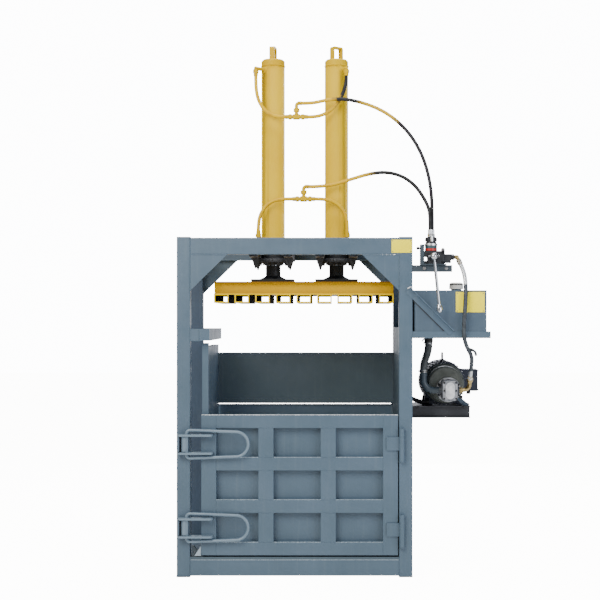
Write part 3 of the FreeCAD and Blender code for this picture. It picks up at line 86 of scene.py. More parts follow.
def feed(tree, node, inputs):  # input name or number -> a value, a hex colour or the socket that drives it
    for key, value in inputs.items():
        if isinstance(value, bpy.types.NodeSocket):
            tree.links.new(value, node.inputs[key])
        else:
            node.inputs[key].default_value = linear(value) if isinstance(value, str) else value


def addNode(tree, kind, inputs=None, settings=None):
    node = tree.nodes.new(kind)
    for key, value in (settings or {}).items():
        setattr(node, key, value)
    feed(tree, node, inputs or {})
    return node


def show(obj):
    bpy.context.scene.collection.objects.link(obj)
    return obj


def setCamera():
    data = bpy.data.cameras.new("photoCamera")
    data.lens = camera["lens"]
    data.sensor_width = camera["sensor"]
    data.shift_x = camera["shiftX"]
    data.shift_y = camera["shiftY"]
    data.clip_end = camera["reach"]
    obj = show(bpy.data.objects.new("photoCamera", data))
    obj.location = place(*camera["spot"])
    obj.rotation_euler = (math.pi / 2, 0, 0)
    bpy.context.scene.camera = obj


def seenGlow(tree, unseen, seen):  # one strength for the light, another for what the camera sees
    ray = addNode(tree, "ShaderNodeLightPath").outputs["Is Camera Ray"]
    glow = addNode(tree, "ShaderNodeMapRange", {"Value": ray, "To Min": unseen, "To Max": seen})
    return glow.outputs["Result"]


def setLights():
    for name, (spot, aim, size, watts, tint) in lamps.items():
        data = bpy.data.lights.new(name, "AREA")
        data.size = size
        data.energy = watts
        data.color = linear(tint)[:3]
        obj = show(bpy.data.objects.new(name, data))
        obj.location = place(*spot)
        obj.rotation_euler = (place(*aim) - place(*spot)).to_track_quat("-Z", "Y").to_euler()
    world = bpy.data.worlds.new("paleRoom")
    world.use_nodes = True
    tree = world.node_tree
    feed(tree, tree.nodes["Background"], {
        "Color": room["world"], "Strength": seenGlow(tree, room["strength"], room["backdropGlow"])})
    bpy.context.scene.world = world


def setFloor():
    mesh = bpy.data.meshes.new("studioFloor")
    half = room["floorSize"] / 2
    corners = [(-half, -half, 0), (half, -half, 0), (half, half, 0), (-half, half, 0)]
    mesh.from_pydata(corners, [], [(0, 1, 2, 3)])
    floor = show(bpy.data.objects.new("studioFloor", mesh))
    paint = bpy.data.materials.new("paleMattePaint")
    paint.use_nodes = True
    tree = paint.node_tree
    feed(tree, tree.nodes["Principled BSDF"], {
        "Base Color": room["floor"], "Roughness": 0.9, "Specular IOR Level": 0.2,
        "Emission Color": room["floor"], "Emission Strength": seenGlow(tree, 0.0, room["floorGlow"])})
    mesh.materials.append(paint)


setCamera()
setLights()
setFloor()
stageNote("camera, lights and floor")


hoseY = -115
hoses = {
    # hose: diameter in mm, shade, the node it stands for, what it carries, route
    "upperLeftLoop": {"mm": 22, "shade": "loop", "node": "cylinder_hoses", "route": [
        (-248, hoseY, 3032), (-248, hoseY, 2965), (-236, hoseY, 2890), (-203, hoseY, 2828),
        (-160, hoseY, 2793), (-113, hoseY, 2778), (-67, hoseY, 2778)]},
    "upperRightLoop": {"mm": 22, "shade": "sprayedLoop", "node": "cylinder_hoses", "route": [
        (73, hoseY, 2778), (122, hoseY, 2778), (178, hoseY, 2795), (230, hoseY, 2832),
        (275, hoseY, 2890), (311, hoseY, 2980), (311, hoseY, 3032)]},
    "lowerLeftLoop": {"mm": 22, "shade": "loop", "node": "cylinder_hoses", "route": [
        (-23, hoseY, 2272), (-80, hoseY, 2272), (-137, hoseY, 2263), (-185, hoseY, 2232),
        (-217, hoseY, 2184), (-232, hoseY, 2126), (-232, hoseY, 2074)]},
    "lowerRightLoop": {"mm": 22, "shade": "loop", "node": "cylinder_hoses", "route": [
        (117, hoseY, 2272), (168, hoseY, 2272), (222, hoseY, 2260), (270, hoseY, 2229),
        (301, hoseY, 2183), (316, hoseY, 2126), (316, hoseY, 2074)]},
    "upperFeedHose": {
        "mm": 22, "shade": "upperFeed", "node": "cylinder_hoses", "carries": ["hose_tees"], "route": [
        (37, hoseY, 2862), (105, hoseY, 2862), (190, -137, 2880), (290, -154, 2884),
        (395, -166, 2862), (495, -182, 2824), (585, -208, 2768), (670, -246, 2685),
        (738, -290, 2580), (785, -335, 2460), (812, -372, 2325), (819, -398, 2190),
        (819, -398, 2062)]},
    "lowerFeedHose": {"mm": 22, "shade": "lowerFeed", "node": "cylinder_hoses", "route": [
        (81, hoseY, 2348), (150, hoseY, 2348), (250, -121, 2364), (350, -138, 2395),
        (450, -165, 2422), (550, -200, 2430), (645, -245, 2402), (722, -300, 2340),
        (774, -356, 2255), (800, -408, 2185), (804, -436, 2125), (804, -436, 2062)]},
    "pressureHose": {"mm": 25, "shade": "sleeved", "node": "pump_hoses", "route": [
        (984.4, -422.1, 1858.5), (1004.6, -427.4, 1815.2), (1014, -443, 1742), (1013, -456, 1662),
        (1007, -462, 1578), (1001, -462, 1498), (1001, -454, 1428), (1022, -418, 1366),
        (1060, -366, 1308), (1060, -304.4, 1235.4), (1060, -253.4, 1184.4)]},
    "suctionHose": {"mm": 47, "shade": "grey", "node": "pump_hoses", "route": [
        (814, -165, 1398), (814, -165, 1365.5), (809, -165, 1332.5), (798.5, -165, 1299.5),
        (787.5, -165, 1266.5), (782, -165, 1234), (782, -165, 1202)]},
    "motorCable": {"mm": 28, "shade": "bare", "node": "pump_hoses", "route": [
        (646, 45, 1043), (682.5, 45, 1043), (719, 41, 1035), (755.5, 34, 1019.5), (792, 30, 1011),
        (829, 30, 1011)]},
}


tube = {"aroundSteps": 6, "alongSteps": 12, "order": 3}  # how finely a hose is made, and its line's order


def hoseCurve(name, route, radius):  # a round tube on one NURBS line
    data = bpy.data.curves.new(name, "CURVE")
    data.dimensions = "3D"
    data.bevel_depth = 1.0 if radius else 0.0  # each point's own radius scales it
    data.bevel_resolution = tube["aroundSteps"]
    data.resolution_u = tube["alongSteps"]
    data.use_fill_caps = True
    spline = data.splines.new("NURBS")
    spline.points.add(len(route) - 1)
    for point, spot in zip(spline.points, route):
        point.co = (*place(*spot), 1)
        point.radius = radius
    spline.order_u = tube["order"]
    spline.use_endpoint_u = True
    return show(bpy.data.objects.new(name, data))


def plainMesh(obj):  # what the object shows, as a mesh of its own
    bpy.context.view_layer.update()
    return bpy.data.meshes.new_from_object(obj.evaluated_get(bpy.context.evaluated_depsgraph_get()))


def curveMesh(name, route, radius):
    obj = hoseCurve(name, route, radius)
    mesh = plainMesh(obj)
    data = obj.data
    bpy.data.objects.remove(obj)
    bpy.data.curves.remove(data)
    return mesh


def lineOf(name, route):  # the points that the smooth line passes
    mesh = curveMesh(name + "Line", route, 0)
    points = [vert.co.copy() for vert in mesh.vertices]
    bpy.data.meshes.remove(mesh)
    return points


hosePieces = {}
hoseLines = {}


def makeHoses():
    for name, facts in hoses.items():
        obj = hoseCurve(name, facts["route"], facts["mm"] / 2000)
        hosePieces[name] = obj
        hoseLines[name] = lineOf(name, facts["route"])
        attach(obj, "root")
        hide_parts(facts["node"])


def lengthOf(points):
    return sum((b - a).length for a, b in zip(points, points[1:]))


shortest = 6  # diameters; a hose under this length is no cord


def declareHoses():
    for name, facts in hoses.items():
        points = hoseLines[name]
        if lengthOf(points) < shortest * facts["mm"] / 1000:  # the suction hose, a clamped joint
            continue
        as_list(facts.get("carries", []))


makeHoses()
stageNote("hoses")


def newMaterial(name, colour, metallic, roughness, gloss=0.5):
    material = bpy.data.materials.new(name)
    material.use_nodes = True
    tree = material.node_tree
    shader = tree.nodes["Principled BSDF"]
    feed(tree, shader, {
        "Base Color": colour, "Metallic": metallic, "Roughness": roughness, "Specular IOR Level": gloss})
    return material, tree, shader


def spotIn(tree, stretch=(1, 1, 1)):  # object coordinates, squeezed where a pattern runs one way
    coords = addNode(tree, "ShaderNodeTexCoord")
    mapping = addNode(tree, "ShaderNodeMapping", {"Vector": coords.outputs["Object"], "Scale": stretch})
    return mapping.outputs["Vector"]


def patches(tree, spot, grain, low, high, least, most, detail=3.0, rough=0.55):
    # a value that wanders from least to most in patches of a grain in mm
    noise = addNode(tree, "ShaderNodeTexNoise", {
        "Vector": spot, "Scale": 1000 / grain, "Detail": detail, "Roughness": rough})
    return addNode(tree, "ShaderNodeMapRange", {
        "Value": noise.outputs["Fac"], "From Min": low, "From Max": high, "To Min": least,
        "To Max": most}).outputs["Result"]


def mottled(tree, spot, grain, first, second, low=0.35, high=0.7, most=1.0, detail=3.0, rough=0.55):
    # the second colour in clouds on the first
    share = patches(tree, spot, grain, low, high, 0.0, most, detail, rough)
    return addNode(
        tree, "ShaderNodeMix", {"Factor": share, 6: first, 7: second}, {"data_type": "RGBA"}).outputs[2]


def grained(tree, shader, spot, grain, deep, strength, detail=3.0):  # its size and depth in mm
    noise = addNode(tree, "ShaderNodeTexNoise", {
        "Vector": spot, "Scale": 1000 / grain, "Detail": detail, "Roughness": 0.55})
    bump = addNode(tree, "ShaderNodeBump", {
        "Height": noise.outputs["Fac"], "Strength": strength, "Distance": deep / 1000})
    feed(tree, shader, {"Normal": bump.outputs["Normal"]})


enamel = {
    # paint: main colour, cloud colour, roughness, peel in mm, dust colour
    "blueGrey": {"main": "4d6173", "cloud": "455969", "rough": 0.42, "peel": 5.0, "dust": "5d6d7a"},
    # painted shade: the chamber's sheets darker than the frame's paint of the same kind, for the shade inside
    # the chamber
    "shade": {"main": "475965", "cloud": "3d4e5a", "rough": 0.5, "peel": 5.0, "dust": "55656f"},
    "dark": {"main": "35424c", "cloud": "2d3942", "rough": 0.45, "peel": 5.0, "dust": "47545e"},
    "tank": {"main": "47596a", "cloud": "3f5161", "rough": 0.42, "peel": 5.0, "dust": "586874"},
    "rod": {"main": "6d8191", "cloud": "647889", "rough": 0.32, "peel": 4.0, "dust": "7f919e"},
    # painted highlights: pale and bright paint for lines where top edges catch the light
    "paleEdge": {"main": "9aabb7", "cloud": "8c9daa", "rough": 0.4, "peel": 4.0, "dust": "b3bfc8"},
    "brightHighlight": {"main": "eef2f4", "cloud": "dde3e7", "rough": 0.3, "peel": 4.0, "dust": "f6f8f9"},
    "brace": {"main": "4f6478", "cloud": "485b6d", "rough": 0.4, "peel": 5.0, "dust": "6a7c8a"},
    # painted shade: near black, for faces and strips that stand in shade
    "deep": {"main": "222e38", "cloud": "1c2730", "rough": 0.55, "peel": 5.0, "dust": "2e3b45"},
    # painted shade: the rear posts darker than the front posts' paint, for the shade they stand in
    "shadedRearTube": {"main": "30445a", "cloud": "2a3c50", "rough": 0.45, "peel": 5.0, "dust": "4b5a66"},
    "yellow": {
        "main": "cdab00", "cloud": "c49e00", "rough": 0.46, "peel": 6.0, "dust": "c9ab00", "shine": 0.1},
    "amber": {
        "main": "caa200", "cloud": "c09400", "rough": 0.48, "peel": 6.0, "dust": "c6a400", "shine": 0.15,
        # beyond this Y either way: from this height to that one, up to this much of this colour: painted
        # shade under the top flange, a painted highlight at the foot
        "face": 316, "edges": ((1724, 1748, 0.9, "6a4600"), (1702, 1680, 0.8, "ecc800"))},
}


def sprayedEnamel(name, paint):  # alkyd machinery enamel, air sprayed on mill steel: satin, orange peel, runs
    facts = enamel[paint]
    rough = facts["rough"]
    material, tree, shader = newMaterial(name, facts["main"], 0.0, rough, facts.get("shine", 0.5))
    spot = spotIn(tree)
    colour = mottled(tree, spot, 420, facts["main"], facts["cloud"], detail=4.0)
    colour = mottled(tree, spotIn(tree, (1, 1, 0.06)), 22, colour, facts["dust"], 0.55, 0.8, 0.35)
    if "edges" in facts:  # on the front and rear faces: painted shade along the top, under the channel's flange, and a painted highlight at the foot
        part = addNode(tree, "ShaderNodeSeparateXYZ", {"Vector": spot})
        inFront = addNode(
            tree, "ShaderNodeMath", {0: part.outputs["Y"], 1: place(0, -facts["face"], 0).y},
            {"operation": "LESS_THAN"})
        behind = addNode(
            tree, "ShaderNodeMath", {0: part.outputs["Y"], 1: place(0, facts["face"], 0).y},
            {"operation": "GREATER_THAN"})
        face = addNode(
            tree, "ShaderNodeMath", {0: inFront.outputs[0], 1: behind.outputs[0]}, {"operation": "ADD"})
        for start, end, most, tint in facts["edges"]:
            level = addNode(tree, "ShaderNodeMapRange", {
                "Value": part.outputs["Z"], "From Min": place(0, 0, start).z, "From Max": place(0, 0, end).z,
                "To Min": 0.0, "To Max": most})
            share = addNode(
                tree, "ShaderNodeMath", {0: level.outputs["Result"], 1: face.outputs[0]},
                {"operation": "MULTIPLY"})
            colour = addNode(
                tree, "ShaderNodeMix", {"Factor": share.outputs[0], 6: colour, 7: tint},
                {"data_type": "RGBA"}).outputs[2]
    feed(tree, shader, {
        "Base Color": colour, "Roughness": patches(tree, spot, 60, 0.3, 0.7, rough - 0.07, rough + 0.09)})
    grained(tree, shader, spot, facts["peel"], 0.35, 0.35, 2.0)
    return material


def brushedBlack(name):  # brushed-on black enamel over angle steel: uneven, chipped to primer
    material, tree, shader = newMaterial(name, "2a2d34", 0.0, 0.55)
    spot = spotIn(tree)
    colour = mottled(tree, spot, 140, "292c32", "393c43")
    feed(tree, shader, {"Base Color": mottled(tree, spot, 16, colour, "767a80", 0.66, 0.72, 0.7, 5.0, 0.65)})
    grained(tree, shader, spotIn(tree, (1, 0.2, 1)), 6, 0.4, 0.4, 2.0)
    return material


def boreShadeBlack(name):  # hot-rolled tube inside, never painted: mill scale and oil, darkened to near black as painted shade in the bore, with little reflection
    material, tree, shader = newMaterial(name, "14110c", 0.0, 0.95, 0.05)
    spot = spotIn(tree)
    feed(tree, shader, {"Base Color": mottled(tree, spot, 25, "12100c", "221c12")})
    grained(tree, shader, spot, 4, 0.3, 0.4)
    return material


def castIron(name, main, cloud):  # sand-cast iron with a thin coat of paint: pebbled skin
    material, tree, shader = newMaterial(name, main, 0.25, 0.5)
    spot = spotIn(tree)
    feed(tree, shader, {"Base Color": mottled(tree, spot, 35, main, cloud)})
    grained(tree, shader, spot, 3.5, 0.7, 0.6)
    return material


def chromedRod(name):  # hard chrome, ground and polished: bright, with fine rings
    material, tree, shader = newMaterial(name, "c9ccd0", 1.0, 0.12)
    spot = spotIn(tree, (0.02, 0.02, 1))
    feed(tree, shader, {"Roughness": patches(tree, spot, 1.6, 0.3, 0.7, 0.08, 0.2, 2.0)})
    grained(tree, shader, spot, 1.6, 0.05, 0.3, 2.0)
    return material


pumpToneAndShade = [
    # from this Y forwards: the die-cast flange, its machined rim, the body's sides darkened as painted shade,
    # the cover, and the raised nose lightened as a painted highlight
    (-90, "c6c9cf", "8c9096"), (-117, "d9dbe0", "b4b7bd"), (-119.5, "5c6067", "43474e"),
    (-216.5, "a6a9b0", "74787f"), (-238.5, "e6e8ec", "bcbfc6")]


def dieCastAluminium(name):  # die-cast aluminium, bead blasted, with painted shade on the body's sides and a painted highlight on its nose
    material, tree, shader = newMaterial(name, "b9bbc4", 0.45, 0.42)
    spot = spotIn(tree)
    depth = addNode(tree, "ShaderNodeSeparateXYZ", {"Vector": spot}).outputs["Y"]
    colour = "c6c9cf"
    for start, main, cloud in pumpToneAndShade:
        skin = mottled(tree, spot, 26, main, cloud, 0.38, 0.66, 1.0, 4.0)
        inFront = addNode(
            tree, "ShaderNodeMath", {0: depth, 1: place(0, start, 0).y}, {"operation": "LESS_THAN"})
        colour = addNode(
            tree, "ShaderNodeMix", {"Factor": inFront.outputs[0], 6: colour, 7: skin},
            {"data_type": "RGBA"}).outputs[2]
    feed(tree, shader, {"Base Color": colour, "Roughness": patches(tree, spot, 9, 0.3, 0.7, 0.34, 0.52)})
    grained(tree, shader, spot, 2.2, 0.2, 0.4, 2.0)
    return material


def zincPlated(name, main, cloud):  # zinc- or nickel-plated steel and turned brass, with handling stains
    material, tree, shader = newMaterial(name, main, 1.0, 0.3)
    spot = spotIn(tree)
    feed(tree, shader, {
        "Base Color": mottled(tree, spot, 14, main, cloud),
        "Roughness": patches(tree, spot, 4, 0.3, 0.7, 0.22, 0.42)})
    return material


def rubberCover(name, main, cloud):  # extruded synthetic rubber hose cover: matt, faint wrap marks, dusty
    material, tree, shader = newMaterial(name, main, 0.0, 0.55)
    spot = spotIn(tree)
    feed(tree, shader, {"Base Color": mottled(tree, spot, 30, main, cloud, 0.4)})
    grained(tree, shader, spot, 3.0, 0.3, 0.5)
    return material


def oversprayedRubber(name, bands):  # the same cover with yellow enamel mist where X lies in a band
    material, tree, shader = newMaterial(name, "17191b", 0.0, 0.5, 0.25)
    spot = spotIn(tree)
    part = addNode(tree, "ShaderNodeSeparateXYZ", {"Vector": spot})
    ragged = patches(tree, spot, 26, 0.3, 0.7, -0.016, 0.016, 4.0, 0.6)
    x = addNode(tree, "ShaderNodeMath", {0: part.outputs["X"], 1: ragged}, {"operation": "ADD"}).outputs[0]
    cover = 0.0
    for low, high, soft, most in bands:
        sides = []
        for edge, least, top in ((low, 0.0, most), (high, 1.0, 0.0)):  # up to the cover, down again
            sides.append(addNode(tree, "ShaderNodeMapRange", {
                "Value": x, "From Min": place(edge - soft, 0, 0).x, "From Max": place(edge + soft, 0, 0).x,
                "To Min": least, "To Max": top}).outputs["Result"])
        band = addNode(tree, "ShaderNodeMath", {0: sides[0], 1: sides[1]}, {"operation": "MULTIPLY"})
        cover = addNode(
            tree, "ShaderNodeMath", {0: cover, 1: band.outputs[0]}, {"operation": "MAXIMUM"}).outputs[0]
    dark = mottled(tree, spot, 30, "141618", "2b2e31", 0.4)
    bright = mottled(tree, spot, 40, "d6b000", "c89c00")
    colour = addNode(tree, "ShaderNodeMix", {"Factor": cover, 6: dark, 7: bright}, {"data_type": "RGBA"})
    shine = addNode(tree, "ShaderNodeMapRange", {"Value": cover, "To Min": 0.55, "To Max": 0.36})
    feed(tree, shader, {"Base Color": colour.outputs[2], "Roughness": shine.outputs["Result"]})
    grained(tree, shader, spot, 3.0, 0.3, 0.5)
    return material


def sleevedRubber(name, level, soft, crimp):  # with a steel spring guard above a height, a crimp below one
    material, tree, shader = newMaterial(name, "17191b", 0.0, 0.5)
    spot = spotIn(tree)
    height = addNode(tree, "ShaderNodeSeparateXYZ", {"Vector": spot}).outputs["Z"]
    spring = addNode(tree, "ShaderNodeMapRange", {
        "Value": height, "From Min": place(0, 0, level - soft).z, "From Max": place(0, 0, level + soft).z})
    below = addNode(
        tree, "ShaderNodeMath", {0: height, 1: place(0, 0, crimp).z}, {"operation": "LESS_THAN"})
    guard = addNode(
        tree, "ShaderNodeMath", {0: spring.outputs["Result"], 1: below.outputs[0]},
        {"operation": "MAXIMUM"}).outputs[0]
    coils = addNode(
        tree, "ShaderNodeTexWave", {"Vector": spot, "Scale": 38.0, "Distortion": 0.4},
        {"bands_direction": "Z"}).outputs["Fac"]
    dark = mottled(tree, spot, 30, "2a3138", "3f4850", 0.4)
    steel = addNode(tree, "ShaderNodeMix", {"Factor": coils, 6: "eceef0", 7: "b4babf"}, {"data_type": "RGBA"})
    colour = addNode(
        tree, "ShaderNodeMix", {"Factor": guard, 6: dark, 7: steel.outputs[2]}, {"data_type": "RGBA"})
    metal = addNode(tree, "ShaderNodeMapRange", {"Value": guard, "To Min": 0.0, "To Max": 0.8})
    shine = addNode(tree, "ShaderNodeMapRange", {"Value": guard, "To Min": 0.55, "To Max": 0.3})
    bump = addNode(tree, "ShaderNodeBump", {"Height": coils, "Strength": 0.5, "Distance": 0.0008})
    feed(tree, shader, {
        "Base Color": colour.outputs[2], "Metallic": metal.outputs["Result"],
        "Roughness": shine.outputs["Result"], "Normal": bump.outputs["Normal"]})
    return material


def mouldedPlastic(name, main, rough):  # injection-moulded ABS: even, with a fine spark-eroded grain
    material, tree, shader = newMaterial(name, main, 0.0, rough)
    spot = spotIn(tree)
    feed(tree, shader, {"Roughness": patches(tree, spot, 12, 0.3, 0.7, rough - 0.06, rough + 0.06, 2.0)})
    grained(tree, shader, spot, 1.6, 0.12, 0.4, 2.0)
    return material


finishes = {
    "frame": sprayedEnamel("blueGreyEnamelOnSteel", "blueGrey"),
    "shade": sprayedEnamel("chamberEnamelPaintedShade", "shade"),
    "yellow": sprayedEnamel("yellowEnamelOnTube", "yellow"),
    "amber": sprayedEnamel("amberEnamelOnChannel", "amber"),
    "shadedBareSteel": boreShadeBlack("boreShadeOnMillScale"),
    "rod": sprayedEnamel("handleEnamelOnBar", "rod"),
    "paleEdge": sprayedEnamel("paintedPaleHighlight", "paleEdge"),
    "brightHighlight": sprayedEnamel("paintedBrightHighlight", "brightHighlight"),
    "dark": sprayedEnamel("slateEnamelOnSteel", "dark"),
    "tank": sprayedEnamel("tankEnamelOnSheet", "tank"),
    "brace": sprayedEnamel("braceEnamelOnAngle", "brace"),
    "deep": sprayedEnamel("shadedInnerEnamel", "deep"),
    "shadedRearTube": sprayedEnamel("rearPostPaintedShade", "shadedRearTube"),
    "black": brushedBlack("brushedBlackEnamel"),
    "motor": castIron("inkBlueEnamelOnCastIron", "1a2130", "252d3d"),
    "iron": castIron("blackenedCastIron", "191c21", "2c2f34"),
    "chrome": chromedRod("hardChrome"),
    "aluminium": dieCastAluminium("dieCastAluminium"),
    "zinc": zincPlated("zincPlatedSteel", "c3c4c4", "8f9092"),
    "bright": zincPlated("brightNickelPlate", "eef0f2", "cfd3d6"),
    "darkSteel": zincPlated("blackOxideSteel", "4a4b4e", "2c2d30"),
    "brass": zincPlated("turnedBrass", "cdb57c", "8f7c4e"),
    "rubber": rubberCover("hoseRubber", "141618", "2b2e31"),
    "greyRubber": rubberCover("dustyHoseRubber", "2d3235", "474d51"),
    "red": mouldedPlastic("redAnodisedRing", "b0281e", 0.4),
    "teal": mouldedPlastic("tealSealRing", "2c4a50", 0.45),
    "palePlastic": mouldedPlastic("creamPlasticCap", "e4e2da", 0.45),
    "darkPlastic": mouldedPlastic("darkMouldedPlastic", "1d1f22", 0.42),
    "bell": castIron("greyEnamelOnCastIron", "565b57", "414642"),
    "plate": mouldedPlastic("bareYellowPlate", "ffee00", 0.42),
}
nodeFinish = {
    "frame": [
        "left_front_post", "right_front_post", "front_top_channel", "rear_top_channel", "front_sill",
        "rear_sill", "side_rails", "corner_gussets", "guide_rail", "front_hinge_pins", "rear_hinge_pins",
        "latch_keepers", "front_door_frame", "rear_door_frame", "power_shelf", "left_wall",
        "front_door_skin", "rear_door_skin"],
    # the chamber's sheets, and the trim inside it, in painted shade
    "shade": ["right_wall", "chamber_floor", "rear_panel"],
    "rod": [
        "front_latch_arms", "front_upper_handle", "front_lower_handle", "rear_latch_arms",
        "rear_upper_handle", "rear_lower_handle"],
    "brace": ["shelf_brace"],
    "dark": ["valve_bracket", "door_ramp"],
    "tank": ["oil_tank"],
    "shadedRearTube": ["left_rear_post", "right_rear_post"],
    "yellow": [
        "left_cylinder", "right_cylinder", "left_cylinder_cap", "right_cylinder_cap", "cylinder_ports",
        "hose_tees"],
    "amber": ["platen_frame", "platen_plate", "platen_ribs"],
    "bell": ["motor_bell"],
    "black": ["motor_base", "cylinder_glands", "cylinder_carriers"],
    "iron": ["rod_feet", "valve_body"],
    "motor": ["motor_body", "motor_cowl"],
    "chrome": ["piston_rods", "valve_lever", "lever_knob"],
    "aluminium": ["gear_pump"],
    "zinc": ["pistons", "pipe_fittings"],
    "palePlastic": ["filler_cap"],
    "darkPlastic": ["motor_fan"],
}
farLeft = -9000  # a band that has no left edge starts here
hoseFinishes = {  # bands of overspray: from X, to X, how soft their edges are, how dense
    "loop": oversprayedRubber("oversprayedLoopHose", [(farLeft, -farLeft, 100, 1.0)]),
    "sprayedLoop": oversprayedRubber("oversprayedRightLoop", [(farLeft, 262, 20, 1.0)]),
    "upperFeed": oversprayedRubber("oversprayedUpperFeed", [(farLeft, 235, 20, 1.0), (400, 610, 30, 0.85)]),
    "lowerFeed": oversprayedRubber("oversprayedLowerFeed", [(farLeft, 450, 30, 1.0)]),
    "sleeved": sleevedRubber("springGuardedHose", 1739, 4, 1216),
    "bare": finishes["rubber"], "grey": finishes["greyRubber"],
}


def dressNodes():
    for finish, names in nodeFinish.items():
        for name in names:
            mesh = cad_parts[name].data
            if not mesh.materials:
                mesh.materials.append(finishes[finish])
            for index in range(len(mesh.materials)):
                mesh.materials[index] = finishes[finish]
    bare = set(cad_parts) - {name for names in nodeFinish.values() for name in names}
    print("nodes without a finish:", sorted(bare))


def dressHoses():
    for name, facts in hoses.items():
        hosePieces[name].data.materials.append(hoseFinishes[facts["shade"]])


dressNodes()
dressHoses()
stageNote("finishes")


def newTree(name, sizes):  # sizes: input name -> kind of socket; returns the tree and its inputs
    tree = bpy.data.node_groups.new(name, "GeometryNodeTree")
    for label, kind in {"Geometry": "Geometry", **sizes, "Material": "Material"}.items():
        tree.interface.new_socket(label, in_out="INPUT", socket_type="NodeSocket" + kind)
    tree.interface.new_socket("Geometry", in_out="OUTPUT", socket_type="NodeSocketGeometry")
    return tree, addNode(tree, "NodeGroupInput").outputs


def closeTree(tree, given, geometry):  # every tree ends in real geometry with its material set
    solid = addNode(tree, "GeometryNodeRealizeInstances", {"Geometry": geometry})
    painted = addNode(tree, "GeometryNodeSetMaterial", {
        "Geometry": solid.outputs["Geometry"], "Material": given["Material"]})
    addNode(tree, "NodeGroupOutput", {"Geometry": painted.outputs["Geometry"]})
    return tree


def boltTree():  # hexagon heads on washers, one on each vertex of the seed mesh
    tree, given = newTree("boltHeads", {
        "Head Across": "Float", "Head Height": "Float", "Washer Across": "Float", "Sides": "Int",
        "Turn": "Vector"})
    drums = (
        # across, share of it that is the radius, share of the head's height: its own, its middle's; sides
        ("Head Across", 0.5, 1.0, 0.5, given["Sides"]),
        ("Washer Across", 0.5, 0.2, 0.1, 20),
        ("Head Across", 0.41, 0.15, 1.2, 20),  # the crown, a little clear of the head
    )
    parts = addNode(tree, "GeometryNodeJoinGeometry")
    for across, *shares, sides in drums:
        radius, depth, middle = (
            addNode(tree, "ShaderNodeMath", {0: given[size], 1: share}, {"operation": "MULTIPLY"}).outputs[0]
            for size, share in zip((across, "Head Height", "Head Height"), shares))
        drum = addNode(tree, "GeometryNodeMeshCylinder", {
            "Vertices": sides, "Radius": radius, "Depth": depth})
        lift = addNode(tree, "ShaderNodeCombineXYZ", {"Z": middle})
        moved = addNode(tree, "GeometryNodeTransform", {
            "Geometry": drum.outputs["Mesh"], "Translation": lift.outputs["Vector"]})
        feed(tree, parts, {"Geometry": moved.outputs["Geometry"]})
    heads = addNode(tree, "GeometryNodeInstanceOnPoints", {
        "Points": given["Geometry"], "Instance": parts.outputs["Geometry"], "Rotation": given["Turn"]})
    return closeTree(tree, given, heads.outputs["Instances"])


def weldTree():  # overlapping ripples of weld metal along the seed's edges
    tree, given = newTree("weldRipples", {"Bead Width": "Float", "Ripple Pitch": "Float", "Seed": "Int"})
    line = addNode(tree, "GeometryNodeMeshToCurve", {"Mesh": given["Geometry"]})
    spaced = addNode(
        tree, "GeometryNodeResampleCurve", {"Curve": line.outputs["Curve"], "Length": given["Ripple Pitch"]},
        {"mode": "LENGTH"})
    half = addNode(tree, "ShaderNodeMath", {0: given["Bead Width"], 1: 0.5}, {"operation": "MULTIPLY"})
    ripple = addNode(tree, "GeometryNodeMeshUVSphere", {"Segments": 8, "Rings": 5, "Radius": half.outputs[0]})
    size = addNode(
        tree, "FunctionNodeRandomValue", {2: 0.8, 3: 1.15, "Seed": given["Seed"]}, {"data_type": "FLOAT"})
    beads = addNode(tree, "GeometryNodeInstanceOnPoints", {
        "Points": spaced.outputs["Curve"], "Instance": ripple.outputs["Mesh"], "Scale": size.outputs[1]})
    return closeTree(tree, given, beads.outputs["Instances"])


def bandTree():  # raised bands square to a line, such as crimp rings and clamp bands
    tree, given = newTree("bandsOnLine", {"Band Radius": "Float", "Band Width": "Float", "Count": "Int"})
    line = addNode(tree, "GeometryNodeMeshToCurve", {"Mesh": given["Geometry"]})
    spaced = addNode(
        tree, "GeometryNodeResampleCurve", {"Curve": line.outputs["Curve"], "Count": given["Count"]},
        {"mode": "COUNT"})
    ring = addNode(tree, "GeometryNodeMeshCylinder", {
        "Vertices": 32, "Radius": given["Band Radius"], "Depth": given["Band Width"]})
    along = addNode(tree, "GeometryNodeInputTangent")
    turn = addNode(tree, "FunctionNodeAlignEulerToVector", {"Vector": along.outputs[0]}, {"axis": "Z"})
    rings = addNode(tree, "GeometryNodeInstanceOnPoints", {
        "Points": spaced.outputs["Curve"], "Instance": ring.outputs["Mesh"],
        "Rotation": turn.outputs["Rotation"]})
    return closeTree(tree, given, rings.outputs["Instances"])


growers = {"bolts": boltTree(), "weld": weldTree(), "bands": bandTree()}


def seedMesh(name, lines):  # each line is a list of spots; single spots make loose vertices
    spots = []
    edges = []
    for line in lines:
        start = len(spots)
        spots += [place(*spot) for spot in line]
        edges += [(start + i, start + i + 1) for i in range(len(line) - 1)]
    mesh = bpy.data.meshes.new(name)
    mesh.from_pydata(spots, edges, [])
    return mesh


def grow(name, kind, lines, values, body, slot):  # one plain mesh from a tree, riding on its body
    seed = show(bpy.data.objects.new(name, seedMesh(name + "Seed", lines)))
    modifier = seed.modifiers.new("grow", "NODES")
    modifier.node_group = growers[kind]
    for item in growers[kind].interface.items_tree:
        if item.in_out == "INPUT" and item.name in values:
            modifier[item.identifier] = values[item.name]
    mesh = plainMesh(seed)
    seed.modifiers.remove(modifier)
    oldSeed = seed.data
    seed.data = mesh
    bpy.data.meshes.remove(oldSeed)
    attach(seed, body)


def makeEach(maker, table):  # table: piece -> what the maker is told in order, then by name
    for name, (*facts, more) in table.items():
        maker(name, *facts, **more)


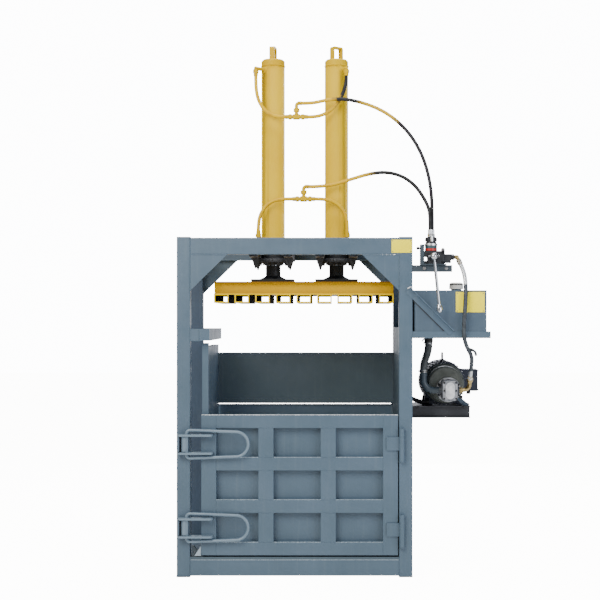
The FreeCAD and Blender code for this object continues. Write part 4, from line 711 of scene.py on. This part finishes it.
boltSizes = {  # head across flats, head height, washer across, in mm
    "m6": (10, 4.5, 12), "m8": (13, 5.5, 17), "m10": (17, 7, 21), "m20": (30, 13, 37), "rivet": (6, 2, 7),
}
facings = {  # which way the heads point
    "up": (0, 0, 0), "down": (math.pi, 0, 0), "front": (math.pi / 2, 0, 0), "right": (0, math.pi / 2, 0),
}


def bolts(name, spots, size, facing, finish, slot="plated_rod", sides=6):
    across, height, washer = (value / 1000 for value in boltSizes[size])
    grow(name, "bolts", [[spot] for spot in spots], {
        "Head Across": across / math.cos(math.pi / sides), "Head Height": height, "Washer Across": washer,
        "Sides": sides, "Turn": facings[facing], "Material": finishes[finish]}, "root", slot)


def ringSpots(centre, radius, count, axis="z", startTurn=0.0):  # spots round a centre, square to Z or to Y
    x, y, z = centre
    spots = []
    for i in range(count):
        turn = startTurn + 2 * math.pi * i / count
        a = radius * math.cos(turn)
        b = radius * math.sin(turn)
        spots.append((x + a, y + b, z) if axis == "z" else (x + a, y, z + b))
    return spots


cylinderXs = (-146, 250)
motor = {"x": 922, "z": 1131, "footTop": 1005, "footX": 126, "cowlY": 322, "cowlRadius": 137}
pump = {"x": 940, "z": 1096, "coverY": -238, "flangeY": -119}
terminalBox = {"front": 113, "back": 247, "low": 1079, "high": 1211, "lidX": 1141, "lid": 4}
boltRows = {
    # row: spots, size, way the heads point, finish
    "cylinderFlangeBolts": (
        [spot for x in cylinderXs for spot in ringSpots((x, 0, 1882), 96, 8, startTurn=0.39)],
        "m20", "down", "black", {"slot": "black_enamel"}),
    "bellBolts": (
        ringSpots((motor["x"], -19, motor["z"]), 118, 6, "y", 0.26), "m6", "front", "darkSteel", {}),
    "coverScrews": (
        [(pump["x"] + a, pump["coverY"], pump["z"] + b) for a in (-36, 36) for b in (-48, 0, 48)],
        "m6", "front", "darkSteel", {"sides": 12}),
    "pumpFlangeScrews": (
        [(pump["x"] + a, pump["flangeY"], pump["z"] + b) for a in (-60, 60) for b in (-32, 32)],
        "m8", "front", "darkSteel", {}),
    "footBolts": (
        [(motor["x"] + side * motor["footX"], y, motor["footTop"]) for side in (-1, 1) for y in (72, 262)],
        "m8", "up", "zinc", {}),
    "cowlTopScrew": (
        [(motor["x"], motor["cowlY"], motor["z"] + motor["cowlRadius"])], "m6", "up", "zinc", {}),
    "cowlSideScrews": (
        [(motor["x"] + motor["cowlRadius"], motor["cowlY"], motor["z"])], "m6", "right", "zinc", {}),
    "terminalLidScrews": (
        [(terminalBox["lidX"] + terminalBox["lid"], y, z)
         for y in (terminalBox["front"] + 9, terminalBox["back"] - 9)
         for z in (terminalBox["low"] + 6, terminalBox["high"] - 6)], "m6", "right", "zinc", {}),
}
makeEach(bolts, boltRows)
stageNote("bolts")


def finished(name, mesh, finish, body, slot):  # a plain object at the origin, riding on its body
    mesh.materials.append(finishes[finish])
    obj = show(bpy.data.objects.new(name, mesh))
    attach(obj, body)
    return obj


creaseAngle = 0.6  # radians between two faces from which an edge counts as sharp
bevel = {"segments": 2, "profile": 0.6}
mergeGap = 0.00001  # metres between two vertices that count as one


def softened(shape, name, soft):  # bevels every sharp edge and closes the mesh
    if soft:
        sharp = [e for e in shape.edges if e.is_manifold and e.calc_face_angle(0) > creaseAngle]
        bmesh.ops.bevel(shape, geom=sharp, offset=soft / 1000, affect="EDGES", **bevel)
    bmesh.ops.recalc_face_normals(shape, faces=shape.faces)
    mesh = bpy.data.meshes.new(name)
    shape.to_mesh(mesh)
    shape.free()
    for face in mesh.polygons:
        face.use_smooth = True
    mesh.set_sharp_from_angle(angle=creaseAngle)
    return mesh


def boxPiece(name, low, high, finish, slot="frame_enamel", soft=1.0):
    shape = bmesh.new()
    bmesh.ops.create_cube(shape, size=1.0)
    start = place(*low)
    end = place(*high)
    for vert in shape.verts:
        vert.co = Vector([a + (b - a) * (c + 0.5) for a, b, c in zip(start, end, vert.co)])
    finished(name, softened(shape, name, soft), finish, "root", slot)


def platePiece(name, outline, near, far, finish, slot="frame_enamel", soft=1.0):  # outline in X, Z
    shape = bmesh.new()
    face = shape.faces.new([shape.verts.new(place(x, near, z)) for x, z in outline])
    grown = bmesh.ops.extrude_face_region(shape, geom=[face])
    for item in grown["geom"]:
        if isinstance(item, bmesh.types.BMVert):
            item.co.y += (far - near) / 1000
    finished(name, softened(shape, name, soft), finish, "root", slot)


def turnedPiece(name, centre, axis, profile, finish, body="root", slot="plated_rod", steps=48, flutes=0.0):
    # profile: (radius, distance along the axis) in mm; flutes: how deep every second step is cut
    toAxis = Vector(axis).normalized().to_track_quat("Z", "Y")
    origin = place(*centre)
    shape = bmesh.new()
    rings = []
    for radius, along in profile:
        ring = []
        for i in range(steps):
            r = radius - (flutes if i % 2 else 0.0)
            turn = 2 * math.pi * i / steps
            spot = Vector((r * math.cos(turn), r * math.sin(turn), along)) / 1000
            ring.append(shape.verts.new(origin + toAxis @ spot))
        rings.append(ring)
    for lower, upper in zip(rings, rings[1:]):
        for i in range(steps):
            j = (i + 1) % steps
            shape.faces.new((lower[i], lower[j], upper[j], upper[i]))
    shape.faces.new(tuple(reversed(rings[0])))
    shape.faces.new(tuple(rings[-1]))
    finished(name, softened(shape, name, 0), finish, body, slot)


def collar(radius, low, high, edge=0.8):  # the profile of a plain ring with broken edges
    return [(radius - edge, low), (radius, low + edge), (radius, high - edge), (radius - edge, high)]


def bentPiece(name, route, radius, finish):  # a stiff bent wire
    finished(name, curveMesh(name, route, radius / 1000), finish, "root", "hose_rubber")


def mergedCopy(node):  # the node's triangles with their doubles merged, the node itself left alone
    shape = bmesh.new()
    shape.from_mesh(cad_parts[node].data)
    bmesh.ops.remove_doubles(shape, verts=shape.verts, dist=mergeGap)
    return shape


def sketchSpot(spot):  # the reverse of place()
    return (spot - frameZero) * 1000


def islandsOf(shape):  # groups of faces that hang together
    left = set(shape.faces)
    for first in shape.faces:
        if first not in left:
            continue
        left.discard(first)
        found = [first]
        for face in found:  # it grows while it is read
            for vert in face.verts:
                for other in vert.link_faces:
                    if other in left:
                        left.discard(other)
                        found.append(other)
        yield found


def splitNode(node, choose, slots):  # copies a node's loose pieces, largest first, each with its own finish
    whole = mergedCopy(node)
    whole.verts.index_update()
    for number, faces in enumerate(sorted(islandsOf(whole), key=len, reverse=True)):
        shape = bmesh.new()
        known = {}
        for face in faces:
            for vert in face.verts:
                if vert.index not in known:
                    known[vert.index] = shape.verts.new(vert.co)
            shape.faces.new([known[vert.index] for vert in face.verts])
        middle = sum((vert.co for vert in shape.verts), Vector()) / len(shape.verts)
        finish = choose(sketchSpot(middle))
        name = f"{node}Piece{number + 1}"
        obj = finished(name, softened(shape, name, 0), finish, "root", slots[finish])
        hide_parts(node)
    whole.free()


def twoTone(node, body, slot, first, second, isSecond, move=None):  # a copy with some faces in another finish
    shape = mergedCopy(node)
    if move:
        for vert in shape.verts:
            vert.co = place(*move(sketchSpot(vert.co)))
    shape.normal_update()
    for face in shape.faces:
        face.material_index = 1 if isSecond(sketchSpot(face.calc_center_median()), face.normal) else 0
    name = node + "Dressed"
    obj = finished(name, softened(shape, name, 0), first, body, slot)
    obj.data.materials.append(finishes[second])
    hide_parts(node)


ribTube = {
    "left": -488, "pitch": 124.0, "count": 9, "wide": 88, "low": 1629, "high": 1679, "wall": 4.5,
    "heavy": 8.0, "slack": 0.1}
ribBore = {"left": -485, "right": 589, "halfDepth": 317.5, "low": 1630.5, "high": 1678.5}
beamTop = 1906
shoulder = {"foot": 1905.2, "radius": 74.4, "high": 30}  # the ring that each cylinder stands in


def heavierRibs(spot):  # the bore of each tube drawn in, sides and floor, to the wall that shows
    half = ribTube["wide"] / 2
    number = round((spot.x - ribTube["left"] - half) / ribTube["pitch"])
    middle = ribTube["left"] + half + number * ribTube["pitch"]
    inner = half - ribTube["wall"]
    if abs(spot.x - middle) > inner + ribTube["slack"]:
        return spot
    floor = ribTube["low"] + ribTube["wall"]
    ceiling = ribTube["high"] - ribTube["wall"]
    if not floor - ribTube["slack"] < spot.z < ceiling + ribTube["slack"]:
        return spot
    more = ribTube["heavy"] - ribTube["wall"]
    return (
        middle + (spot.x - middle) * (inner - more) / inner, spot.y,
        ceiling - (ceiling - spot.z) * (ceiling - floor - more) / (ceiling - floor))


def insideRibs(spot, normal):
    return (
        ribBore["left"] < spot.x < ribBore["right"] and abs(spot.y) < ribBore["halfDepth"]
        and ribBore["low"] < spot.z < ribBore["high"])


def belowBeam(spot, normal):
    return spot.z < beamTop


def notFacingOut(spot, normal):
    return abs(normal.y) < 0.5


def makeTwoTones():
    # the tubes' bores in near-black painted shade, their walls drawn thicker
    twoTone("platen_ribs", "press_head", "yellow_enamel", "amber", "shadedBareSteel", insideRibs, heavierRibs)
    for node in ("left_cylinder", "right_cylinder"):
        twoTone(node, "root", "yellow_enamel", "yellow", "black", belowBeam)
    # faces that don't face front or back in painted shade
    twoTone("corner_gussets", "root", "frame_enamel", "frame", "deep", notFacingOut)
    for name, x in zip(("leftShoulder", "rightShoulder"), cylinderXs):
        profile = collar(shoulder["radius"], 0, shoulder["high"])
        turnedPiece(name, (x, 0, shoulder["foot"]), (0, 0, 1), profile, "black", slot="black_enamel")


trimBars = {
    # bar: low corner, high corner, finish
    "rearDoorStop": ((607, 366, 106), (620, 370, 1090), "shade", {"soft": 0.8}),
    # a strip in painted shadow in the gap between the post and the tank
    "tankSpacer": ((700.2, -380, 1459), (710.8, -374, 1701), "deep", {"soft": 0.8}),
}
panelLip = {"down": 6, "up": 2}  # how far the rear panel's folded edge reaches below and above its foot
trimPlates = {
    # plate: outline in X and Z, near Y, far Y, finish
    "rampFace": ([(-556, 186), (-594, 128), (-556, 128)], -432.5, -430, "paleEdge", {"soft": 0.5}),
    "footBrace": ([
        (1000, 1033), (1020, 1046), (1066, 1010), (1078, 1006), (1078, 992), (1040, 992)], -18, -4, "tank",
        {"slot": "motor_enamel"}),
    # a strip in painted shadow along the gap behind the brace's lower edge
    "bracePacking": (
        [(713.4, 1645.4), (703.9, 1635.8), (883.8, 1458), (893.3, 1467.6)], -430, -425, "deep", {}),
}


def makeTrim():
    makeEach(boxPiece, trimBars)
    low, high = (sketchSpot(corner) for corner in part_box("rear_panel"))
    foot = low.z
    boxPiece(
        "panelLip", (low.x, low.y, foot - panelLip["down"]), (high.x, high.y, foot + panelLip["up"]), "shade",
        soft=0.8)
    makeEach(platePiece, trimPlates)


plates = {
    # bare plate: low corner, high corner, inset of its rivets
    "beamPlate": ((575, -431.2, 1925), (696, -430, 2003), 7),
    "tankPlate": ((957, -426.2, 1572), (1128, -425, 1693), 8),
}


def makePlates():
    for name, (low, high, inset) in plates.items():
        boxPiece(name, low, high, "plate", soft=0.4)
        spots = [
            (x, low[1], z)
            for x in (low[0] + inset, high[0] - inset) for z in (low[2] + inset, high[2] - inset)]
        bolts(name + "Rivets", spots, "rivet", "front", "zinc", sides=12)


fittingSlots = {"dark": "frame_enamel", "brass": "brass", "bright": "plated_rod"}
fittingZones = {"valveTop": 2000, "valveFoot": 1700, "pumpLeft": 930}


def chooseFitting(spot):  # nickel above the valve, brass in it and at the pump, dark elbows between them
    if spot.z > fittingZones["valveTop"]:
        return "bright"
    return "brass" if spot.z > fittingZones["valveFoot"] or spot.x > fittingZones["pumpLeft"] else "dark"


upwards = (0, 0, 1)
stackSpot = (810, -417)
reliefSpot = (881, -417)
valveTurnings = {
    # piece: foot of its axis, its way, its profile, finish
    "sealRingRed": ((*stackSpot, 1936.5), upwards, collar(36.6, 0, 13.5), "red", {}),
    "sealRingTeal": ((*stackSpot, 1951), upwards, collar(36.2, 0, 14.5), "teal", {}),
    "stackRingBright": ((*stackSpot, 1967), upwards, collar(38.2, 0, 12.5), "bright", {}),
    "crownPlug": ((813, -446, 1990), upwards, collar(10, 0, 34), "bright", {"steps": 32}),
    "reliefSleeve": ((*reliefSpot, 1938), upwards, collar(11.2, 0, 11), "zinc", {"steps": 6}),
    "reliefCap": ((*reliefSpot, 1949.5), upwards, collar(7.5, 0, 5), "zinc", {"steps": 24}),
    "outletSleeve": ((950, -417, 1900), (1, 0, 0), collar(12.4, 0, 9), "brass", {"steps": 32}),
    "bracketKnobCap": (
        (732, -426, 1952), (0, -1, 0), [(9.6, 0), (9.6, 3), (6, 6), (0.5, 6.6)], "darkPlastic",
        {"slot": "fan_plastic", "steps": 24}),
}
valveBolts = {
    "valveScrews": (
        [(782, -455, 1866), (878, -455, 1866), (878, -455, 1926)], "m8", "front", "darkSteel", {"sides": 12}),
    "bracketBolts": ([(x, -430, 1832) for x in (770, 900)], "m10", "front", "zinc", {}),
}
hoseEnds = {
    # hose: finish of its ferrules at the start and at the end, ferrule radius
    "upperLeftLoop": ("yellow", "yellow", 14.0), "upperRightLoop": ("yellow", "yellow", 14.0),
    "lowerLeftLoop": ("yellow", "yellow", 14.0), "lowerRightLoop": ("yellow", "yellow", 14.0),
    "upperFeedHose": ("yellow", "bright", 14.0), "lowerFeedHose": ("yellow", "bright", 14.0),
    "pressureHose": ("bright", "bright", 16.0),
}
crimp = {"start": 5.0, "stop": 24.0, "wide": 2.8, "count": 4}  # its rings, from the hose's end outwards


def makeCrimps():
    for name, (startFinish, endFinish, radius) in hoseEnds.items():
        route = [Vector(spot) for spot in hoses[name]["route"]]
        for end, tip, inner, finish in (
                ("Start", route[0], route[1], startFinish), ("End", route[-1], route[-2], endFinish)):
            along = (tip - inner).normalized()
            grow(f"{name}{end}Crimp", "bands", [[tip + along * crimp[stop] for stop in ("start", "stop")]], {
                "Band Radius": radius / 1000, "Band Width": crimp["wide"] / 1000, "Count": crimp["count"],
                "Material": finishes[finish]}, "root", "plated_rod")


clamps = {
    # clamp band: spot on the suction hose, next spot
    "upperSuctionClamp": ((814, -165, 1391), (814, -165, 1381)),
    "lowerSuctionClamp": ((782, -165, 1218), (782, -165, 1208)),
}
clampBand = {"radius": 24.6, "wide": 4.5, "screwLow": (-31, -6, -5), "screwHigh": (-23, 8, 5)}


def makeClamps():
    for name, (start, end) in clamps.items():
        grow(name, "bands", [[start, end]], {
            "Band Radius": clampBand["radius"] / 1000, "Band Width": clampBand["wide"] / 1000, "Count": 2,
            "Material": finishes["zinc"]}, "root", "plated_rod")
        middle = (Vector(start) + Vector(end)) / 2
        low, high = (middle + Vector(clampBand[corner]) for corner in ("screwLow", "screwHigh"))
        boxPiece(name + "Screw", low, high, "darkSteel", slot="plated_rod", soft=0.8)


hoseTrim = {
    # bent piece: route, radius, finish
    "hoseTieTail": (
        [(1028, -398, 1357), (1052, -398, 1350), (1068, -398, 1342), (1078, -398, 1330), (1080, -398, 1312)],
        8, "greyRubber", {}),
    "cuffHook": (
        [(800, -186, 1412), (786, -192, 1411), (776, -192, 1405), (774, -192, 1394)], 4.5, "rubber", {}),
}
outlet = {"foot": (1060, -227, 1158), "way": (0, -1, 1)}  # the pump's pressure port
motorTurnings = {
    "suctionTopCuff": ((814, -165, 1390), upwards, collar(27, 0, 27.5, 2), "rubber", {"slot": "hose_rubber"}),
    "terminalGland": (
        (1092, 180, 1076), (0, 0, -1), collar(13, 0, 22, 2), "darkPlastic",
        {"slot": "fan_plastic", "steps": 6}),
    "pressureNut": (outlet["foot"], outlet["way"], collar(18.6, -3, 21, 1.5), "bright", {"steps": 6}),
    "pressureSleeve": (outlet["foot"], outlet["way"], collar(16.2, 23, 34, 1), "bright", {"steps": 36}),
    "drainKnob": (
        (996, -105, 1052), (1, 0, -0.12), [(5, 0), (5, 14), (9, 16), (10.5, 20), (10.5, 28), (8, 32)],
        "darkPlastic", {"slot": "fan_plastic", "steps": 24}),
}
motorBoxes = {
    "terminalLid": (
        (terminalBox["lidX"], terminalBox["front"], terminalBox["low"]),
        (terminalBox["lidX"] + terminalBox["lid"], terminalBox["back"], terminalBox["high"]),
        "motor", {"slot": "motor_enamel", "soft": 1.6}),
    "motorPlate": ((892, 170, 1270.5), (952, 220, 1272), "zinc", {"slot": "plated_rod", "soft": 0.4}),
}
baseBolts = {"baseBolts": ([(x, -60, 985) for x in (752, 1040)], "m10", "front", "darkSteel", {})}
capSpot = (975, -250, 0)
capTurnings = {
    "capKnurl": (
        capSpot, upwards, [(41.5, 1714), (43.2, 1715.5), (43.2, 1733.5), (41.5, 1735)], "palePlastic",
        {"body": "breather_cap", "steps": 72, "flutes": 1.0}),
    "capRim": (capSpot, upwards, collar(42.8, 1737, 1744), "darkPlastic", {"body": "breather_cap"}),
}
makeTwoTones()
makeTrim()
makePlates()
splitNode("pipe_fittings", chooseFitting, fittingSlots)
stageNote("two-tone copies, trim and plates")
makeEach(turnedPiece, valveTurnings)
makeEach(bolts, valveBolts)
makeCrimps()
makeClamps()
makeEach(bentPiece, hoseTrim)
makeEach(boxPiece, motorBoxes)
makeEach(turnedPiece, motorTurnings)
makeEach(bolts, baseBolts)
makeEach(turnedPiece, capTurnings)
stageNote("valve, crimps, motor trim and cap")


ringSteps = 48
doorBars = {"stiles": (-465, 525), "bars": (-214, 155.5), "wide": 89, "foot": 3, "head": 74}
latchArm = {"left": -550, "right": -483, "lift": 53, "half": 7}
latchZs = (299, 792)


def cylinderRings(z, radius):  # a closed ring of spots round each cylinder's axis
    return [ringSpots((x, 0, z), radius, ringSteps) + ringSpots((x, 0, z), radius, 1) for x in cylinderXs]


def doorSeams(y, railFeet, barEnds):  # up the stiles at each rail, and across the ends of the bars
    return [
        [(x, y, z + doorBars["foot"]), (x, y, z + doorBars["head"])]
        for x in doorBars["stiles"] for z in railFeet] + [
        [(x, y, z), (x + doorBars["wide"], y, z)] for x in doorBars["bars"] for z in barEnds]


def armSeams(y):  # both edges of each latch arm's two bars
    return [
        [(latchArm[end], y, z + side * latchArm["lift"] + edge) for end in ("left", "right")]
        for z in latchZs for side in (-1, 1) for edge in (-latchArm["half"], latchArm["half"])]


faces = (-430, 430)  # the front and rear faces of the posts
weldSeams = {
    # seam: body, slot, finish, bead width, lines
    "frameSeams": ("root", "frame_enamel", "frame", 7.0, [
        [(side * 620, y, low), (side * 620, y, high)]
        for side in (-1, 1) for y in faces for low, high in ((12, 104), (1700, 1922), (2005, 2012))]
        + [[(-620, y, 1922), (-620, y, 2005)] for y in faces] + [[(620, 430, 1922), (620, 430, 2005)]]
        + [[(side * 617, y, 1915), (side * 402, y, 1915)] for side in (-1, 1) for y in faces]),
    "footSeams": ("root", "frame_enamel", "frame", 6.0, [
        [(x, y, 8), (x + 80, y, 8)] for x in (-700, 620) for y in faces]),
    # weld beads in bright plating as a painted glint where they catch the light
    "braceGlintSeams": ("root", "plated_rod", "bright", 8.0, [
        [(672, -431.5, 1712), (690, -431.5, 1719)], [(675, -432.5, 1717), (688, -432.5, 1722)]]),
    "railSeams": ("root", "frame_enamel", "frame", 6.0, [
        [(-620, y, 1403), (-565, y, 1403)] for y in faces]
        + [[(-565, y, 1405), (-565, y, 1471)] for y in faces]),
    "keeperSeams": ("root", "frame_enamel", "frame", 6.0, [
        [(-679, side * 431, z - 42), (-679, side * 431, z + 42)] for side in (-1, 1) for z in latchZs]),
    "shelfSeams": ("root", "frame_enamel", "frame", 6.0, [
        [(700, -430, 1420), (700, -430, 1456)], [(700, -431, 1421), (738, -431, 1421)]]),
    "bracketSeams": ("root", "frame_enamel", "dark", 6.0, [
        [(701, -430, 1814), (701, -430, 1850)], [(748, -452, 1852), (748, -375, 1852)]]),
    "capSeams": ("root", "yellow_enamel", "yellow", 7.0, cylinderRings(3109, 73)),
    "flangeSeams": ("root", "black_enamel", "black", 8.0, cylinderRings(1907, 74)),
    "frontDoorSeams": ("front_door", "frame_enamel", "frame", 3.0, doorSeams(
        -431, (131, 382.7, 634.3, 886), (208, 382.7, 459.7, 634.3, 711.3, 886))),
    "rearDoorSeams": ("rear_door", "frame_enamel", "frame", 5.0, doorSeams(
        431, (131, 387, 643, 899), (208, 387, 464, 643, 720, 899))),
    # beads in pale and bright paint as painted highlights where the window bars', the door's and the sill's
    # top edges catch the light
    "windowHighlightSeams": ("front_door", "frame_enamel", "paleEdge", 6.0, [
        [(start, -428.2, z), (end, -428.2, z)]
        for start, end in ((-465, -214), (-125, 155.5), (244.5, 525)) for z in (207.5, 459.2, 710.8)]),
    "doorTopHighlight": ("front_door", "frame_enamel", "brightHighlight", 6.0, [
        [(-551, -428.2, 962.2), (611, -428.2, 962.2)]]),
    "sillHighlight": ("root", "frame_enamel", "paleEdge", 5.0, [[(-618, -428.2, 103.4), (618, -428.2, 103.4)]]),
    # weld beads in bright plating as a painted glint where they catch the light
    "beamEndGlintSeam": ("root", "plated_rod", "bright", 4.5, [
        [(505, -430.5, 1914), (594, -430.5, 1914)], [(588, -431.5, 1913), (596, -431.5, 1915)]]),
    "frontArmSeams": ("front_door", "frame_enamel", "frame", 6.0, armSeams(-431)),
    "rearArmSeams": ("rear_door", "frame_enamel", "frame", 6.0, armSeams(431)),
    "ribSeams": ("press_head", "yellow_enamel", "amber", 5.0, [
        [(ribTube["left"] + i * ribTube["pitch"] + along, y, ribTube["high"] - 0.5) for along in (2, 86)]
        for i in range(ribTube["count"]) for y in (-320.5, 320.5)]),
    "rodFootSeams": ("press_head", "cast_iron", "iron", 7.0, cylinderRings(1779, 83)),
}


def makeWelds():
    for number, (name, (body, slot, finish, width, lines)) in enumerate(weldSeams.items()):
        grow(name, "weld", lines, {
            "Bead Width": width / 1000, "Ripple Pitch": width / 2200, "Seed": number + 3,
            "Material": finishes[finish]}, body, slot)


makeWelds()
stageNote("weld seams")

declareHoses()
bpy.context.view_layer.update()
stageNote("boxes written")
